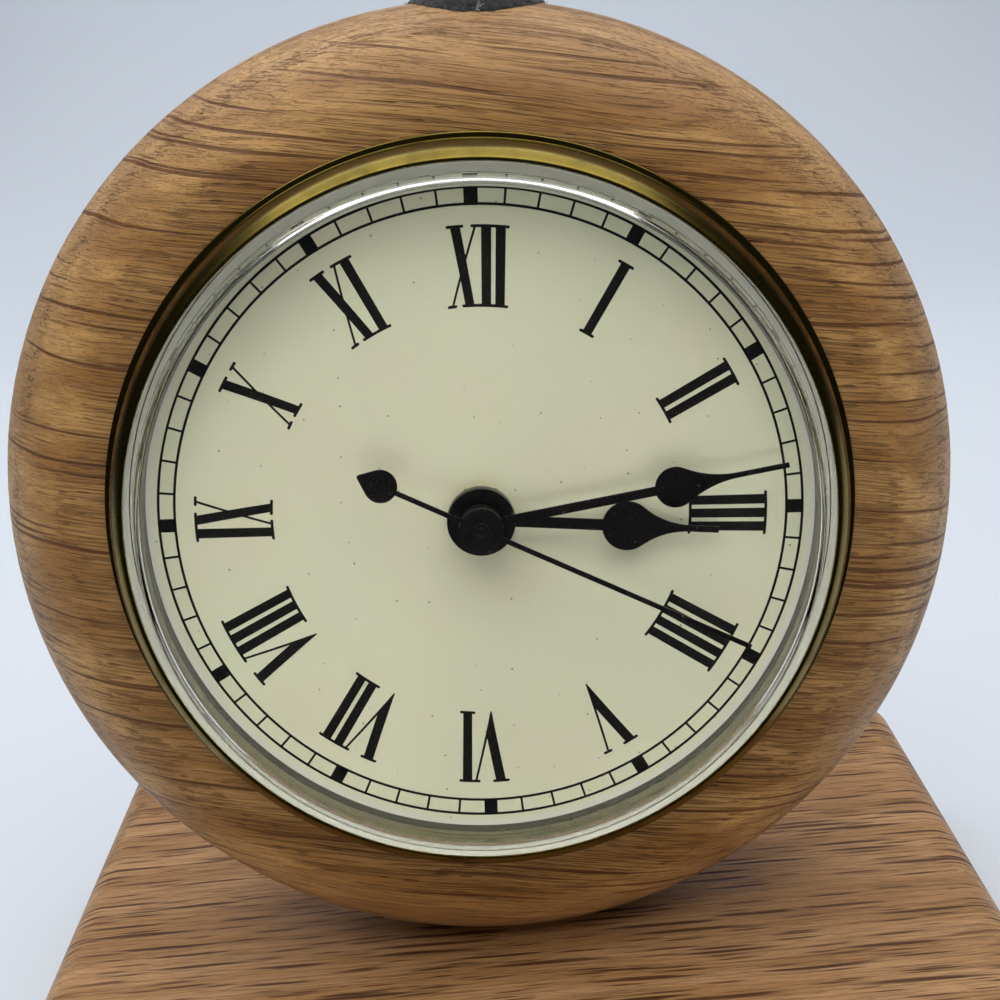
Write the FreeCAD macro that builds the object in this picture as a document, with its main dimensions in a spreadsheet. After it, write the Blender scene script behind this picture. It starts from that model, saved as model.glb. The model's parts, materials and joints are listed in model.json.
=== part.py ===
import FreeCAD, Part
import Sketcher
import math
import os
import re

# Desk clock: a turned oak disc that leans back on an oak slab, with a push-in quartz insert.
# World frame: X to the right, Y to the back, Z up, origin under the middle of the slab.
# Case frame: origin in the middle of the disc's front face, Z out of the dial, Y up the dial.

doc = FreeCAD.newDocument("desk_clock")
sheet = doc.addObject("Spreadsheet::Sheet", "Sizes")

# Driving sizes, in millimetres and degrees
SIZES = {
    # oak slab and its pads
    "base_width": 124.0,
    "base_depth": 96.0,
    "base_height": 20.0,
    "base_round": 5.0,
    "base_bottom_chamfer": 1.0,
    "pad_radius": 7.0,
    "pad_thickness": 2.0,
    "pad_inset": 15.0,
    # oak disc
    "case_diameter": 115.0,
    "case_thickness": 30.0,
    "case_round": 14.5,
    "case_lean": 5.8,
    "seat_depth": 1.2,
    "recess_diameter": 80.0,
    "recess_depth": 20.0,
    # wood screws from below
    "screw_spacing": 12.0,
    "screw_radius": 2.0,
    "screw_cover": 4.3,
    "screw_head_radius": 4.0,
    "screw_head_height": 2.6,
    "screw_head_sink": 6.0,
    "screw_clearance": 0.1,
    # knob on top, turned clockwise round the rim
    "knob_turn": 4.6,
    "washer_radius": 7.9,
    "washer_thickness": 0.9,
    "knob_foot_radius": 7.0,
    "knob_foot_top_radius": 5.2,
    "knob_foot_height": 2.2,
    "knob_neck_radius": 3.0,
    "knob_neck_height": 3.0,
    "knob_ball_radius": 6.0,
    "stud_radius": 1.5,
    "stud_cover": 6.5,
    "stud_in_knob": 6.0,
    "stud_clearance": 0.05,
    # bezel, lens and dial
    "insert_turn": 3.3,
    "bezel_diameter": 85.0,
    "flange_thickness": 0.8,
    "flange_land": 0.6,
    "bezel_cove": 0.6,
    "lip_height": 5.5,
    "lip_width": 0.4,
    "lens_radius": 39.35,
    "lens_fit": 0.05,
    "lens_rim_width": 1.55,
    "lens_wall": 1.1,
    "lens_shoulder_height": 2.1,
    "lens_shoulder_width": 0.6,
    "lens_shoulder_round": 0.8,
    "lens_rise": 3.5,
    "dial_drop": 0.7,
    "dial_thickness": 0.5,
    "dial_fit": 0.1,
    "ledge_width": 0.5,
    "bezel_skirt_wall": 0.7,
    "bezel_skirt_depth": 6.0,
    "grip_fit": 0.05,
    "grip_length": 3.5,
    "grip_gap": 1.0,
    # cup and movement housing
    "cup_fit": 0.1,
    "cup_wall": 1.2,
    "movement_width": 44.0,
    "movement_depth": 12.0,
    "movement_corner": 4.0,
    "housing_wall": 1.2,
    "pivot_depth": 0.8,
    "running_gap": 0.05,
    "bush_wall": 0.45,
    "bush_height": 1.3,
    "nut_flats": 6.4,
    "nut_thickness": 1.1,
    # wheels
    "rotor_teeth": 8,
    "intermediate_teeth": 48,
    "intermediate_pinion_teeth": 8,
    "second_teeth": 40,
    "second_pinion_teeth": 8,
    "third_teeth": 60,
    "third_pinion_teeth": 8,
    "centre_teeth": 64,
    "cannon_teeth": 10,
    "minute_teeth": 30,
    "minute_pinion_teeth": 8,
    "hour_teeth": 32,
    "rotor_module": 0.25,
    "second_module": 0.30,
    "third_module": 0.20,
    "motion_module": 0.37,
    "rotor_direction": 60.0,
    "intermediate_direction": 0.0,
    "third_direction": 180.0,
    "minute_direction": 270.0,
    "pressure_angle": 20.0,
    "tooth_addendum": 0.70,
    "tooth_dedendum": 1.15,
    "tooth_backlash": 0.20,
    "pinion_shift": 0.50,
    "cannon_shift": 0.41,
    "layer_gap": 0.2,
    "motion_width": 1.0,
    "wheel_width": 0.8,
    "layer_pitch": 1.4,
    "pinion_overhang": 0.2,
    "arbor_radius": 0.4,
    "second_arbor_radius": 0.5,
    "centre_tube_wall": 0.3,
    "cannon_tube_wall": 0.5,
    "hour_tube_wall": 0.55,
    "setting_arbor_radius": 0.8,
    "magnet_radius": 2.4,
    "magnet_length": 2.8,
    "setting_knob_radius": 4.0,
    "setting_knob_height": 2.2,
    "setting_knob_gap": 0.3,
    "setting_knob_grips": 20,
    # motor and electronics
    "stator_thickness": 1.0,
    "stator_gap": 0.4,
    "stator_arm": 6.0,
    "coil_height": 15.0,
    "coil_length": 18.0,
    "coil_left": -13.0,
    "coil_radius": 2.7,
    "coil_flange_radius": 3.2,
    "coil_flange_width": 0.8,
    "core_width": 2.0,
    "core_overhang": 4.0,
    "core_clearance": 0.1,
    "post_radius": 1.5,
    "board_width": 11.0,
    "board_thickness": 0.8,
    "board_inset": 1.0,
    "crystal_radius": 1.0,
    "crystal_length": 6.0,
    "cell_radius": 5.8,
    "cell_height": 5.4,
    "cell_right": 13.2,
    "cell_down": 12.6,
    "cell_clearance": 0.2,
    "cell_well_wall": 0.9,
    "contact_thickness": 0.3,
    "hatch_plug_radius": 6.5,
    "hatch_flange": 1.1,
    "hatch_thickness": 1.0,
    "hatch_clearance": 0.1,
    "hatch_slot_width": 1.4,
    "hatch_slot_depth": 0.6,
    # hands, with their angles clockwise from twelve
    "hour_hand_angle": 94.3,
    "minute_hand_angle": 80.4,
    "second_hand_angle": 115.9,
    "hand_thickness": 0.3,
    "hour_hand_level": 1.1,
    "hour_hub_radius": 3.85,
    "hour_hub_height": 1.75,
    "hour_hub_rise": 1.25,
    "hour_stem_width": 1.3,
    "hour_spade_reach": 16.5,
    "hour_spade_radius": 2.85,
    "hour_taper_reach": 23.6,
    "hour_tip_reach": 26.9,
    "hour_tip_width": 0.75,
    "minute_hand_level": 3.8,
    "minute_hub_radius": 2.3,
    "minute_hub_height": 0.6,
    "minute_hub_rise": 0.0,
    "minute_stem_width": 1.05,
    "minute_spade_reach": 21.9,
    "minute_spade_radius": 2.3,
    "minute_taper_reach": 28.9,
    "minute_tip_reach": 34.6,
    "minute_tip_width": 0.6,
    "second_hand_level": 5.9,
    "second_hub_radius": 2.45,
    "second_hub_height": 1.1,
    "second_stem_width": 0.55,
    "second_tip_reach": 33.0,
    "second_tail_reach": 12.0,
    "second_tail_radius": 1.85,
    "second_tail_point": 14.75,
}
for row, (alias, value) in enumerate(SIZES.items(), start=1):
    sheet.set(f"A{row}", alias)
    sheet.set(f"B{row}", str(value))
    sheet.setAlias(f"B{row}", alias)
doc.recompute()
size = {alias: float(sheet.get(alias)) for alias in SIZES}

subparts = []
local_places = {}


def formula(text):
    return re.sub(r"[a-z]\w*", lambda word: "Sizes." + word[0] if word[0] in SIZES else word[0], text)


def bind(item, **sizes):
    for name, text in sizes.items():
        item.setExpression(name, formula(text))


def place(x="0", y="0", z="0", turn=("0", "0", "1", "0")):
    rotation = f"rotation(vector({turn[0]}; {turn[1]}; {turn[2]}); {turn[3]})"
    return f"placement(vector({x}; {y}; {z}); {rotation})"


ALONG = {"x": ("0", "1", "0", "90"), "y": ("1", "0", "0", "-90"), "z": ("0", "0", "1", "0")}


def set_place(item, text):
    local_places[item.Name] = text
    item.setExpression("Placement", formula(text))
    return item


def cylinder(name, radius, height, x="0", y="0", z="0", along="z", frame=None):
    item = doc.addObject("Part::Cylinder", name)
    bind(item, Radius=radius, Height=height)
    here = place(x, y, z, ALONG[along])
    return set_place(item, here if frame is None else f"{frame} * {here}")


def box(name, length, width, height, x="0", y="0", z="0"):
    item = doc.addObject("Part::Box", name)
    bind(item, Length=length, Width=width, Height=height)
    return set_place(item, place(x, y, z))


def fuse(name, *items):
    item = doc.addObject("Part::MultiFuse", name)
    item.Shapes = list(items)
    item.Refine = True
    return item


def cut(name, base, *tools):
    item = doc.addObject("Part::Cut", name)
    item.Base = base
    item.Tool = tools[0] if len(tools) == 1 else fuse(name + "_tools", *tools)
    return item


def common(name, first, second):
    item = doc.addObject("Part::Common", name)
    item.Base = first
    item.Tool = second
    return item


def ring(name, outer, inner, height, z="0"):
    disc = cylinder(name + "_disc", outer, height, z=z)
    hole = cylinder(name + "_hole", inner, height, z=z)
    return cut(name, disc, hole)


def group(name, *items):
    item = doc.addObject("Part::Compound", name)
    item.Links = list(items)
    return item


def publish(label, item, frame=None):
    if frame is not None:
        here = local_places.get(item.Name)
        item.setExpression("Placement", formula(frame if here is None else f"{frame} * {here}"))
    item.Label = label
    subparts.append(item)


def new_body(name):
    return doc.addObject("PartDesign::Body", name)


def new_sketch(body, name, role):
    sketch = body.newObject("Sketcher::SketchObject", name)
    plane = next(item for item in body.Origin.OriginFeatures if item.Role == role)
    sketch.AttachmentSupport = [(plane, "")]
    sketch.MapMode = "FlatFace"
    return sketch


def fix_coordinate(sketch, index, axis, text):
    # a coordinate of zero is a point on the other axis, any other one is a bound distance
    if text == "0":
        sketch.addConstraint(Sketcher.Constraint("PointOnObject", index, 1, -2 if axis == "X" else -1))
        return
    kind = "DistanceX" if axis == "X" else "DistanceY"
    number = sketch.addConstraint(Sketcher.Constraint(kind, -1, 1, index, 1, 1.0))
    sketch.setExpression(f"Constraints[{number}]", formula(text))


def outline(sketch, corners, domes=()):
    # corners are bound points joined in order; an edge in domes is an arc centred on the vertical axis
    points = []
    for number, (across, up) in enumerate(corners):
        start = FreeCAD.Vector(1.0 + number, 1.0 + number * number, 0)
        points.append(sketch.addGeometry(Part.Point(start), True))
        fix_coordinate(sketch, points[-1], "X", across)
        fix_coordinate(sketch, points[-1], "Y", up)
    doc.recompute()
    spots = [sketch.getPoint(point, 1) for point in points]
    for number, point in enumerate(points):
        after = (number + 1) % len(points)
        first, last = spots[number], spots[after]
        if number in domes:
            middle = (last.x ** 2 + last.y ** 2 - first.x ** 2 - first.y ** 2) / (2 * (last.y - first.y))
            centre = FreeCAD.Vector(0, middle, 0)
            circle = Part.Circle(centre, FreeCAD.Vector(0, 0, 1), (first - centre).Length)
            low, high = sorted(math.atan2(spot.y - middle, spot.x) for spot in (first, last))
            edge = sketch.addGeometry(Part.ArcOfCircle(circle, low, high))
            low_is_first = math.atan2(first.y - middle, first.x) < math.atan2(last.y - middle, last.x)
            ends = (1, 2) if low_is_first else (2, 1)
            sketch.addConstraint(Sketcher.Constraint("PointOnObject", edge, 3, -2))
        else:
            edge = sketch.addGeometry(Part.LineSegment(first, last))
            ends = (1, 2)
        sketch.addConstraint(Sketcher.Constraint("Coincident", edge, ends[0], point, 1))
        sketch.addConstraint(Sketcher.Constraint("Coincident", edge, ends[1], points[after], 1))
    doc.recompute()


def pad(body, sketch, length):
    item = body.newObject("PartDesign::Pad", sketch.Name + "_pad")
    item.Profile = sketch
    bind(item, Length=length)
    doc.recompute()
    return item


def revolve(body, sketch):
    item = body.newObject("PartDesign::Revolution", sketch.Name + "_turn")
    item.Profile = sketch
    item.ReferenceAxis = (sketch, ["V_Axis"])
    item.Angle = 360.0
    doc.recompute()
    return item


def dress(body, kind, base, picked, sized, text):
    # a fillet or a chamfer on the edges of the base for which picked is true
    item = body.newObject("PartDesign::" + kind, base.Name + "_" + kind.lower())
    names = [f"Edge{n}" for n, edge in enumerate(base.Shape.Edges, start=1) if picked(edge)]
    item.Base = (base, names)
    item.setExpression(sized, formula(text))
    doc.recompute()
    return item


def rounded_block(name, width, height, corner, z):
    body = new_body(name)
    sketch = new_sketch(body, name + "_square", "XY_Plane")
    half = f"({width}) / 2"
    outline(sketch, [(f"-{half}", f"-{half}"), (half, f"-{half}"), (half, half), (f"-{half}", half)])
    block = pad(body, sketch, height)
    dress(body, "Fillet", block, lambda edge: edge.BoundBox.ZLength > edge.BoundBox.XLength + 1e-6
          and edge.BoundBox.ZLength > edge.BoundBox.YLength + 1e-6, "Radius", corner)
    return set_place(body, place(z=z))


# Places
case_radius = "(case_diameter / 2)"
round_centre = f"({case_radius} - case_round)"
disc_height = f"(base_height + {round_centre} * cos(case_lean) + case_round - seat_depth)"
disc_back = f"({round_centre} * sin(case_lean))"
half_case = "(case_thickness / 2)"
case_place = place("0", f"{disc_back} - {half_case} * cos(case_lean)",
                   f"{disc_height} + {half_case} * sin(case_lean)", ("1", "0", "0", "90 - case_lean"))
insert_place = f"{case_place} * {place(turn=('0', '0', '1', '-insert_turn'))}"
knob_place = f"{case_place} * {place(turn=('0', '0', '1', '-knob_turn'))}"

# Levels in the insert, along its axis
dial_front = "(-dial_drop)"
dial_back = "(-dial_drop - dial_thickness)"
plate_inner = f"({dial_back} - housing_wall)"
cover_outer = f"({dial_back} - movement_depth)"
cover_inner = f"({cover_outer} + housing_wall)"
housing_split = f"({dial_back} - movement_depth / 2)"
cup_back = f"({cover_outer} - cup_wall)"

# Wheel axes in the insert
third_reach = "(third_module * (second_pinion_teeth + third_teeth) / 2)"
minute_reach = "(motion_module * (cannon_teeth + minute_teeth) / 2)"
intermediate_reach = "(second_module * (intermediate_pinion_teeth + second_teeth) / 2)"
rotor_reach = "(rotor_module * (rotor_teeth + intermediate_teeth) / 2)"


def polar(reach, direction):
    return f"({reach} * cos({direction}))", f"({reach} * sin({direction}))"


third_axis = polar(third_reach, "third_direction")
minute_axis = polar(minute_reach, "minute_direction")
intermediate_axis = polar(intermediate_reach, "intermediate_direction")
rotor_step = polar(rotor_reach, "rotor_direction")
rotor_axis = (f"({intermediate_axis[0]} + {rotor_step[0]})", f"({intermediate_axis[1]} + {rotor_step[1]})")
cell_axis = ("cell_right", "(-cell_down)")

# Oak slab with its edges rounded over, and counterbored screw holes
slab_thickness = "base_height - pad_thickness"
slab = new_body("slab")
slab_sketch = new_sketch(slab, "slab_plan", "XY_Plane")
outline(slab_sketch, [("-base_width / 2", "-base_depth / 2"), ("base_width / 2", "-base_depth / 2"),
                      ("base_width / 2", "base_depth / 2"), ("-base_width / 2", "base_depth / 2")])
slab_pad = pad(slab, slab_sketch, slab_thickness)
slab_round = dress(slab, "Fillet", slab_pad, lambda edge: edge.BoundBox.ZMax > 1.0, "Radius", "base_round")
slab_chamfer = dress(slab, "Chamfer", slab_round, lambda edge: edge.BoundBox.ZMax < 1e-6,
                     "Size", "base_bottom_chamfer")
set_place(slab, place(z="pad_thickness"))
screw_holes = []
screws = []
screw_seat = "(pad_thickness + screw_head_sink)"
recess_bottom = (f"({disc_height} - recess_diameter / 2 / cos(case_lean)"
                 f" + {disc_back} * tan(case_lean))")
screw_end = f"({recess_bottom} - screw_cover)"
for side in ("-", ""):
    at = f"({side}screw_spacing / 2)"
    tag = "left" if side else "right"
    screw_holes.append(cylinder(f"screw_hole_{tag}", "screw_radius + screw_clearance", "base_height", x=at))
    screw_holes.append(cylinder(f"screw_counterbore_{tag}", "screw_head_radius + screw_clearance",
                                screw_seat, x=at))
    shank = cylinder(f"screw_shank_{tag}", "screw_radius", f"{screw_end} - {screw_seat}", x=at,
                     z=screw_seat)
    head = cylinder(f"screw_head_{tag}", "screw_head_radius", "screw_head_height", x=at,
                    z=f"{screw_seat} - screw_head_height")
    screws.append(fuse(f"screw_{tag}", head, shank))
publish("oak_base", cut("drilled_slab", slab, *screw_holes))
publish("case_screws", group("screw_pair", *screws))

# Felt pads under the slab's corners
pads = []
for number, (side, end) in enumerate((("-", "-"), ("", "-"), ("", ""), ("-", ""))):
    pads.append(cylinder(f"pad_{number}", "pad_radius", "pad_thickness",
                         x=f"{side}(base_width / 2 - pad_inset)", y=f"{end}(base_depth / 2 - pad_inset)"))
publish("felt_pads", group("pad_set", *pads))


def turned_disc(name, extra):
    # a disc with its rim rounded right over, thicker all round by extra
    body = new_body(name)
    sketch = new_sketch(body, name + "_section", "XZ_Plane")
    radius = f"{case_radius} + {extra}"
    outline(sketch, [("0", f"{extra}"), ("0", f"-case_thickness - {extra}"),
                     (radius, f"-case_thickness - {extra}"), (radius, f"{extra}")] if extra != "0" else
            [("0", "0"), ("0", "-case_thickness"), (case_radius, "-case_thickness"), (case_radius, "0")])
    blank = revolve(body, sketch)
    dress(body, "Fillet", blank, lambda edge: edge.BoundBox.XLength > size["case_diameter"] / 2
          and edge.BoundBox.ZLength < 1e-6, "Radius", f"case_round + {extra}")
    return set_place(body, case_place)


# Oak disc: rounded rim, blind recess for the insert, flat seat on the slab, pilot holes
blank = turned_disc("turned_blank", "0")
recess = cylinder("recess", "recess_diameter / 2", "recess_depth", z="-recess_depth", frame=case_place)
seat = box("seat_block", "case_diameter", "case_diameter", "base_height",
           x=f"-{case_radius}", y=f"-{case_radius}")
pilots = []
for side in ("-", ""):
    tag = "left" if side else "right"
    pilots.append(cylinder(f"pilot_{tag}", "screw_radius", f"{screw_end} - base_height",
                           x=f"({side}screw_spacing / 2)", z="base_height"))
stud_depth = "((case_diameter - recess_diameter) / 2 - stud_cover)"
stud_hole = cylinder("stud_hole", "stud_radius", f"2 * {stud_depth}", y=f"{case_radius} - {stud_depth}",
                     z=f"-{half_case}", along="y", frame=knob_place)
publish("oak_case", cut("seated_disc", blank, recess, seat, stud_hole, *pilots))

# Soft washer that follows the rim, and a turned brass knob whose foot is filed to sit on it
skin = turned_disc("washer_skin", "washer_thickness")


def on_top(name, radius, height, start):
    return cylinder(name, radius, height, y=f"{case_radius} + {start}", z=f"-{half_case}", along="y",
                    frame=knob_place)


washer_column = on_top("washer_column", "washer_radius", "case_round", "-case_round / 2")
washer_bore = on_top("washer_bore", "stud_radius + stud_clearance", "case_round", "-case_round / 2")
washer_cap = common("washer_cap", skin, washer_column)
publish("knob_washer", cut("washer", washer_cap, blank, washer_bore))

foot_level = "washer_thickness"
neck_level = f"({foot_level} + knob_foot_height)"
ball_level = f"({neck_level} + knob_neck_height)"
foot_skirt = on_top("knob_foot_skirt", "knob_foot_radius", "case_round / 4", f"{foot_level} - case_round / 4")
foot = doc.addObject("Part::Cone", "knob_foot")
bind(foot, Radius1="knob_foot_radius", Radius2="knob_foot_top_radius", Height="knob_foot_height")
set_place(foot, f"{knob_place} * " + place("0", f"{case_radius} + {foot_level}", f"-{half_case}", ALONG["y"]))
neck = on_top("knob_neck", "knob_neck_radius", f"{ball_level} - {foot_level}", foot_level)
ball = doc.addObject("Part::Sphere", "knob_ball")
bind(ball, Radius="knob_ball_radius")
ball_centre = f"({ball_level} + sqrt(knob_ball_radius ^ 2 - knob_neck_radius ^ 2))"
set_place(ball, f"{knob_place} * " + place("0", f"{case_radius} + {ball_centre}", f"-{half_case}"))
knob = fuse("knob_blank", foot_skirt, foot, neck, ball)
ball_bore = on_top("knob_bore", "stud_radius", f"{foot_level} + stud_in_knob + case_round / 4",
                   "-case_round / 4")
publish("top_knob", cut("knob", knob, skin, ball_bore))
stud = on_top("stud", "stud_radius", f"{stud_depth} + {foot_level} + stud_in_knob", f"-{stud_depth}")
publish("knob_stud", stud)

# Brass bezel: flange on the wood, cove up to the lip, skirt down the recess with a ledge for the dial
bezel_bore = "(lens_radius + lens_fit)"
skirt_bore = f"({bezel_bore} - ledge_width)"
skirt_radius = f"({skirt_bore} + bezel_skirt_wall)"
bezel_radius = "(bezel_diameter / 2)"
bezel = new_body("bezel_body")
bezel_sketch = new_sketch(bezel, "bezel_section", "XZ_Plane")
outline(bezel_sketch, [(bezel_bore, "lip_height"), (f"{bezel_bore} + lip_width", "lip_height"),
                       (f"{bezel_radius} - flange_land", "flange_thickness"),
                       (bezel_radius, "flange_thickness"), (bezel_radius, "0"), (skirt_radius, "0"),
                       (skirt_radius, "-bezel_skirt_depth"), (skirt_bore, "-bezel_skirt_depth"),
                       (skirt_bore, dial_back), (bezel_bore, dial_back)])
bezel_turn = revolve(bezel, bezel_sketch)
cove_radius = size["bezel_diameter"] / 2 - size["flange_land"]
dress(bezel, "Fillet", bezel_turn, lambda edge: edge.BoundBox.ZLength < 1e-6
      and abs(edge.BoundBox.XMax - cove_radius) < 0.01, "Radius", "bezel_cove")
publish("bezel", bezel, insert_place)

# Clear lens: flat rim level with the lip, raised shoulder, shallow dome
rim_inner = "(lens_radius - lens_rim_width)"
shoulder_radius = f"({rim_inner} - lens_shoulder_width)"
shoulder_level = "(lip_height + lens_shoulder_height)"
dome_level = "(lip_height + lens_rise)"
lens = new_body("lens_body")
lens_sketch = new_sketch(lens, "lens_section", "XZ_Plane")
outline(lens_sketch, [("0", dome_level), (shoulder_radius, shoulder_level), (rim_inner, "lip_height"),
                      ("lens_radius", "lip_height"), ("lens_radius", dial_front),
                      (f"{rim_inner} - lens_fit", dial_front),
                      (f"{rim_inner} - lens_fit", "lip_height - lens_wall"),
                      (f"{shoulder_radius} - lens_wall / 2", f"{shoulder_level} - lens_wall"),
                      ("0", f"{dome_level} - lens_wall")], domes=(0, 7))
lens_turn = revolve(lens, lens_sketch)
shoulder_line = size["lens_radius"] - size["lens_rim_width"] - size["lens_shoulder_width"]
dress(lens, "Fillet", lens_turn, lambda edge: edge.BoundBox.ZLength < 1e-6
      and shoulder_line - size["lens_wall"] < edge.BoundBox.XMax < shoulder_line + 0.01,
      "Radius", "lens_shoulder_round")
publish("lens", lens, insert_place)

# Dial plate on the ledge
second_bore = "(second_arbor_radius + running_gap)"
centre_tube = f"({second_bore} + centre_tube_wall)"
cannon_bore = f"({centre_tube} + running_gap)"
cannon_tube = f"({cannon_bore} + cannon_tube_wall)"
hour_bore = f"({cannon_tube} + running_gap)"
hour_tube = f"({hour_bore} + hour_tube_wall)"
bush_bore = f"({hour_tube} + running_gap)"
bush_radius = f"({bush_bore} + bush_wall)"
publish("dial_plate", ring("dial", f"{bezel_bore} - dial_fit", f"{bush_radius} + dial_fit", "dial_thickness",
                           dial_back), insert_place)

# Rubber grip band round the skirt, which holds the insert in the recess
publish("grip_band", ring("grip", "recess_diameter / 2 - grip_fit", skirt_radius, "grip_length",
                          "-grip_gap - grip_length"), insert_place)

# Cup behind the dial, with its holes for the setting knob's arbor and the battery hatch
cup_radius = f"({skirt_bore} - cup_fit)"
hatch_flange_radius = "(hatch_plug_radius + hatch_flange)"
cup_outer = cylinder("cup_outer", cup_radius, f"{dial_back} - {cup_back}", z=cup_back)
cup_inner = cylinder("cup_inner", f"{cup_radius} - cup_wall", "movement_depth", z=cover_outer)
cup_arbor_hole = cylinder("cup_arbor_hole", "setting_arbor_radius + 3 * hatch_clearance", "2 * cup_wall",
                          *minute_axis, f"{cup_back} - cup_wall / 2")
cup_hatch_hole = cylinder("cup_hatch_hole", f"{hatch_flange_radius} + 3 * hatch_clearance", "2 * cup_wall",
                          *cell_axis, f"{cup_back} - cup_wall / 2")
publish("insert_cup", cut("cup", cup_outer, cup_inner, cup_arbor_hole, cup_hatch_hole), insert_place)

# Movement housing, front half: plate, walls, threaded bush, battery well, posts for the stator
cavity_width = "movement_width - 2 * housing_wall"
cavity_corner = "movement_corner - housing_wall"
half_depth = "movement_depth / 2"
front_block = rounded_block("front_block", "movement_width", half_depth, "movement_corner", housing_split)
front_cavity = rounded_block("front_cavity", cavity_width, half_depth, cavity_corner,
                             f"{housing_split} - housing_wall")
front_shell = cut("front_shell", front_block, front_cavity)
bush = cylinder("bush", bush_radius, f"housing_wall + dial_thickness + bush_height", z=plate_inner)
well_floor = f"({cover_inner} + 2 * contact_thickness + cell_height)"
well_radius = "(cell_radius + cell_clearance + cell_well_wall)"
well_mouth = f"({cover_inner} + contact_thickness + cell_clearance)"
well = cylinder("cell_well", well_radius, f"{plate_inner} - {well_mouth}", *cell_axis, well_mouth)
well_hole = cylinder("cell_well_hole", "cell_radius + cell_clearance", f"{well_floor} - {well_mouth}",
                     *cell_axis, well_mouth)
stator_level = f"({housing_split} + stator_thickness / 2)"
core_level = f"({housing_split})"
stator_left = f"({rotor_axis[0]} - magnet_radius - stator_gap - stator_thickness)"
stator_right = f"({rotor_axis[0]} + stator_arm)"
stator_low = f"({rotor_axis[1]} - magnet_radius - stator_gap - stator_thickness)"
stator_high = "(coil_height + core_width)"
core_left = "(coil_left - core_overhang)"
posts = []
for tag, at in (("right", f"{stator_right} - post_radius"), ("left", f"{core_left} + post_radius")):
    posts.append(cylinder(f"post_{tag}", "post_radius", f"{plate_inner} - {stator_level}", at, "coil_height",
                          stator_level))
pivot_radius = "arbor_radius + running_gap"


def pivot_holes(tag, level):
    holes = []
    for name, axis in (("third", third_axis), ("intermediate", intermediate_axis), ("rotor", rotor_axis)):
        holes.append(cylinder(f"{tag}_{name}_pivot", pivot_radius, "pivot_depth + layer_gap", *axis, level))
    return holes


front_pivots = pivot_holes("front", plate_inner)
front_pivots.append(cylinder("front_minute_pivot", pivot_radius, "pivot_depth + layer_gap", *minute_axis,
                             plate_inner))
bush_hole = cylinder("bush_hole", bush_bore, "movement_depth", z=plate_inner)
front_solid = fuse("front_solid", front_shell, bush, well, *posts)
publish("movement_plate", cut("movement_front", front_solid, bush_hole, well_hole, *front_pivots),
        insert_place)

# Movement housing, back half: cover with pivots, arbor hole and the hatch's seat
back_block = rounded_block("back_block", "movement_width", half_depth, "movement_corner", cover_outer)
back_cavity = rounded_block("back_cavity", cavity_width, half_depth, cavity_corner, cover_inner)
back_pivots = pivot_holes("back", f"{cover_inner} - pivot_depth - layer_gap")
back_pivots.append(cylinder("back_second_pivot", second_bore, "pivot_depth + layer_gap",
                            z=f"{cover_inner} - pivot_depth - layer_gap"))
cover_arbor_hole = cylinder("cover_arbor_hole", "setting_arbor_radius + running_gap", "2 * housing_wall",
                            *minute_axis, f"{cover_outer} - housing_wall / 2")
cover_hatch_hole = cylinder("cover_hatch_hole", "hatch_plug_radius + hatch_clearance", "2 * housing_wall",
                            *cell_axis, f"{cover_outer} - housing_wall / 2")
publish("movement_cover", cut("movement_back", back_block, back_cavity, cover_arbor_hole, cover_hatch_hole,
                              *back_pivots), insert_place)

# Hexagon nut that clamps the dial on the bush
nut_blank = doc.addObject("Part::Prism", "nut_blank")
nut_blank.Polygon = 6
bind(nut_blank, Circumradius="nut_flats / sqrt(3)", Height="nut_thickness")
set_place(nut_blank, place(z=dial_front))
nut_hole = cylinder("nut_hole", bush_radius, "nut_thickness", z=dial_front)
publish("dial_nut", cut("nut", nut_blank, nut_hole), insert_place)

# Stepper motor: stator with its core bar, and the coil on the bar
stator_plate = box("stator_plate", f"{stator_right} - {stator_left}", f"{stator_high} - {stator_low}",
                   "stator_thickness", stator_left, stator_low, f"{stator_level} - stator_thickness")
core_bar = box("core_bar", f"{stator_right} - {core_left}", "core_width", "stator_thickness", core_left,
               "coil_height - core_width / 2", f"{stator_level} - stator_thickness")
rotor_hole = cylinder("rotor_hole", "magnet_radius + stator_gap", "2 * stator_thickness", *rotor_axis,
                      f"{stator_level} - 1.5 * stator_thickness")
stator_solid = fuse("stator_solid", stator_plate, core_bar)
publish("stator", cut("stator_cut", stator_solid, rotor_hole), insert_place)

winding = cylinder("winding", "coil_radius", "coil_length", "coil_left", "coil_height", core_level, "x")
coil_ends = []
for tag, at in (("left", "coil_left"), ("right", "coil_left + coil_length - coil_flange_width")):
    coil_ends.append(cylinder(f"coil_flange_{tag}", "coil_flange_radius", "coil_flange_width", at,
                              "coil_height", core_level, "x"))
core_slot = box("core_slot", "coil_length", "core_width + 2 * core_clearance",
                "stator_thickness + 2 * core_clearance", "coil_left",
                "coil_height - core_width / 2 - core_clearance",
                f"{core_level} - stator_thickness / 2 - core_clearance")
publish("drive_coil", cut("coil", fuse("bobbin", winding, *coil_ends), core_slot), insert_place)

# Circuit board on the cover, with its crystal
board_low = f"(-({cavity_width}) / 2 + board_inset)"
board = box("board", "board_width", "board_width", "board_thickness", board_low, board_low, cover_inner)
publish("circuit_board", board, insert_place)
crystal = cylinder("crystal", "crystal_radius", "crystal_length",
                   f"{board_low} + (board_width - crystal_length) / 2", f"{board_low} + board_width / 2",
                   f"{cover_inner} + board_thickness + crystal_radius", "x")
publish("quartz_crystal", crystal, insert_place)

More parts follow.
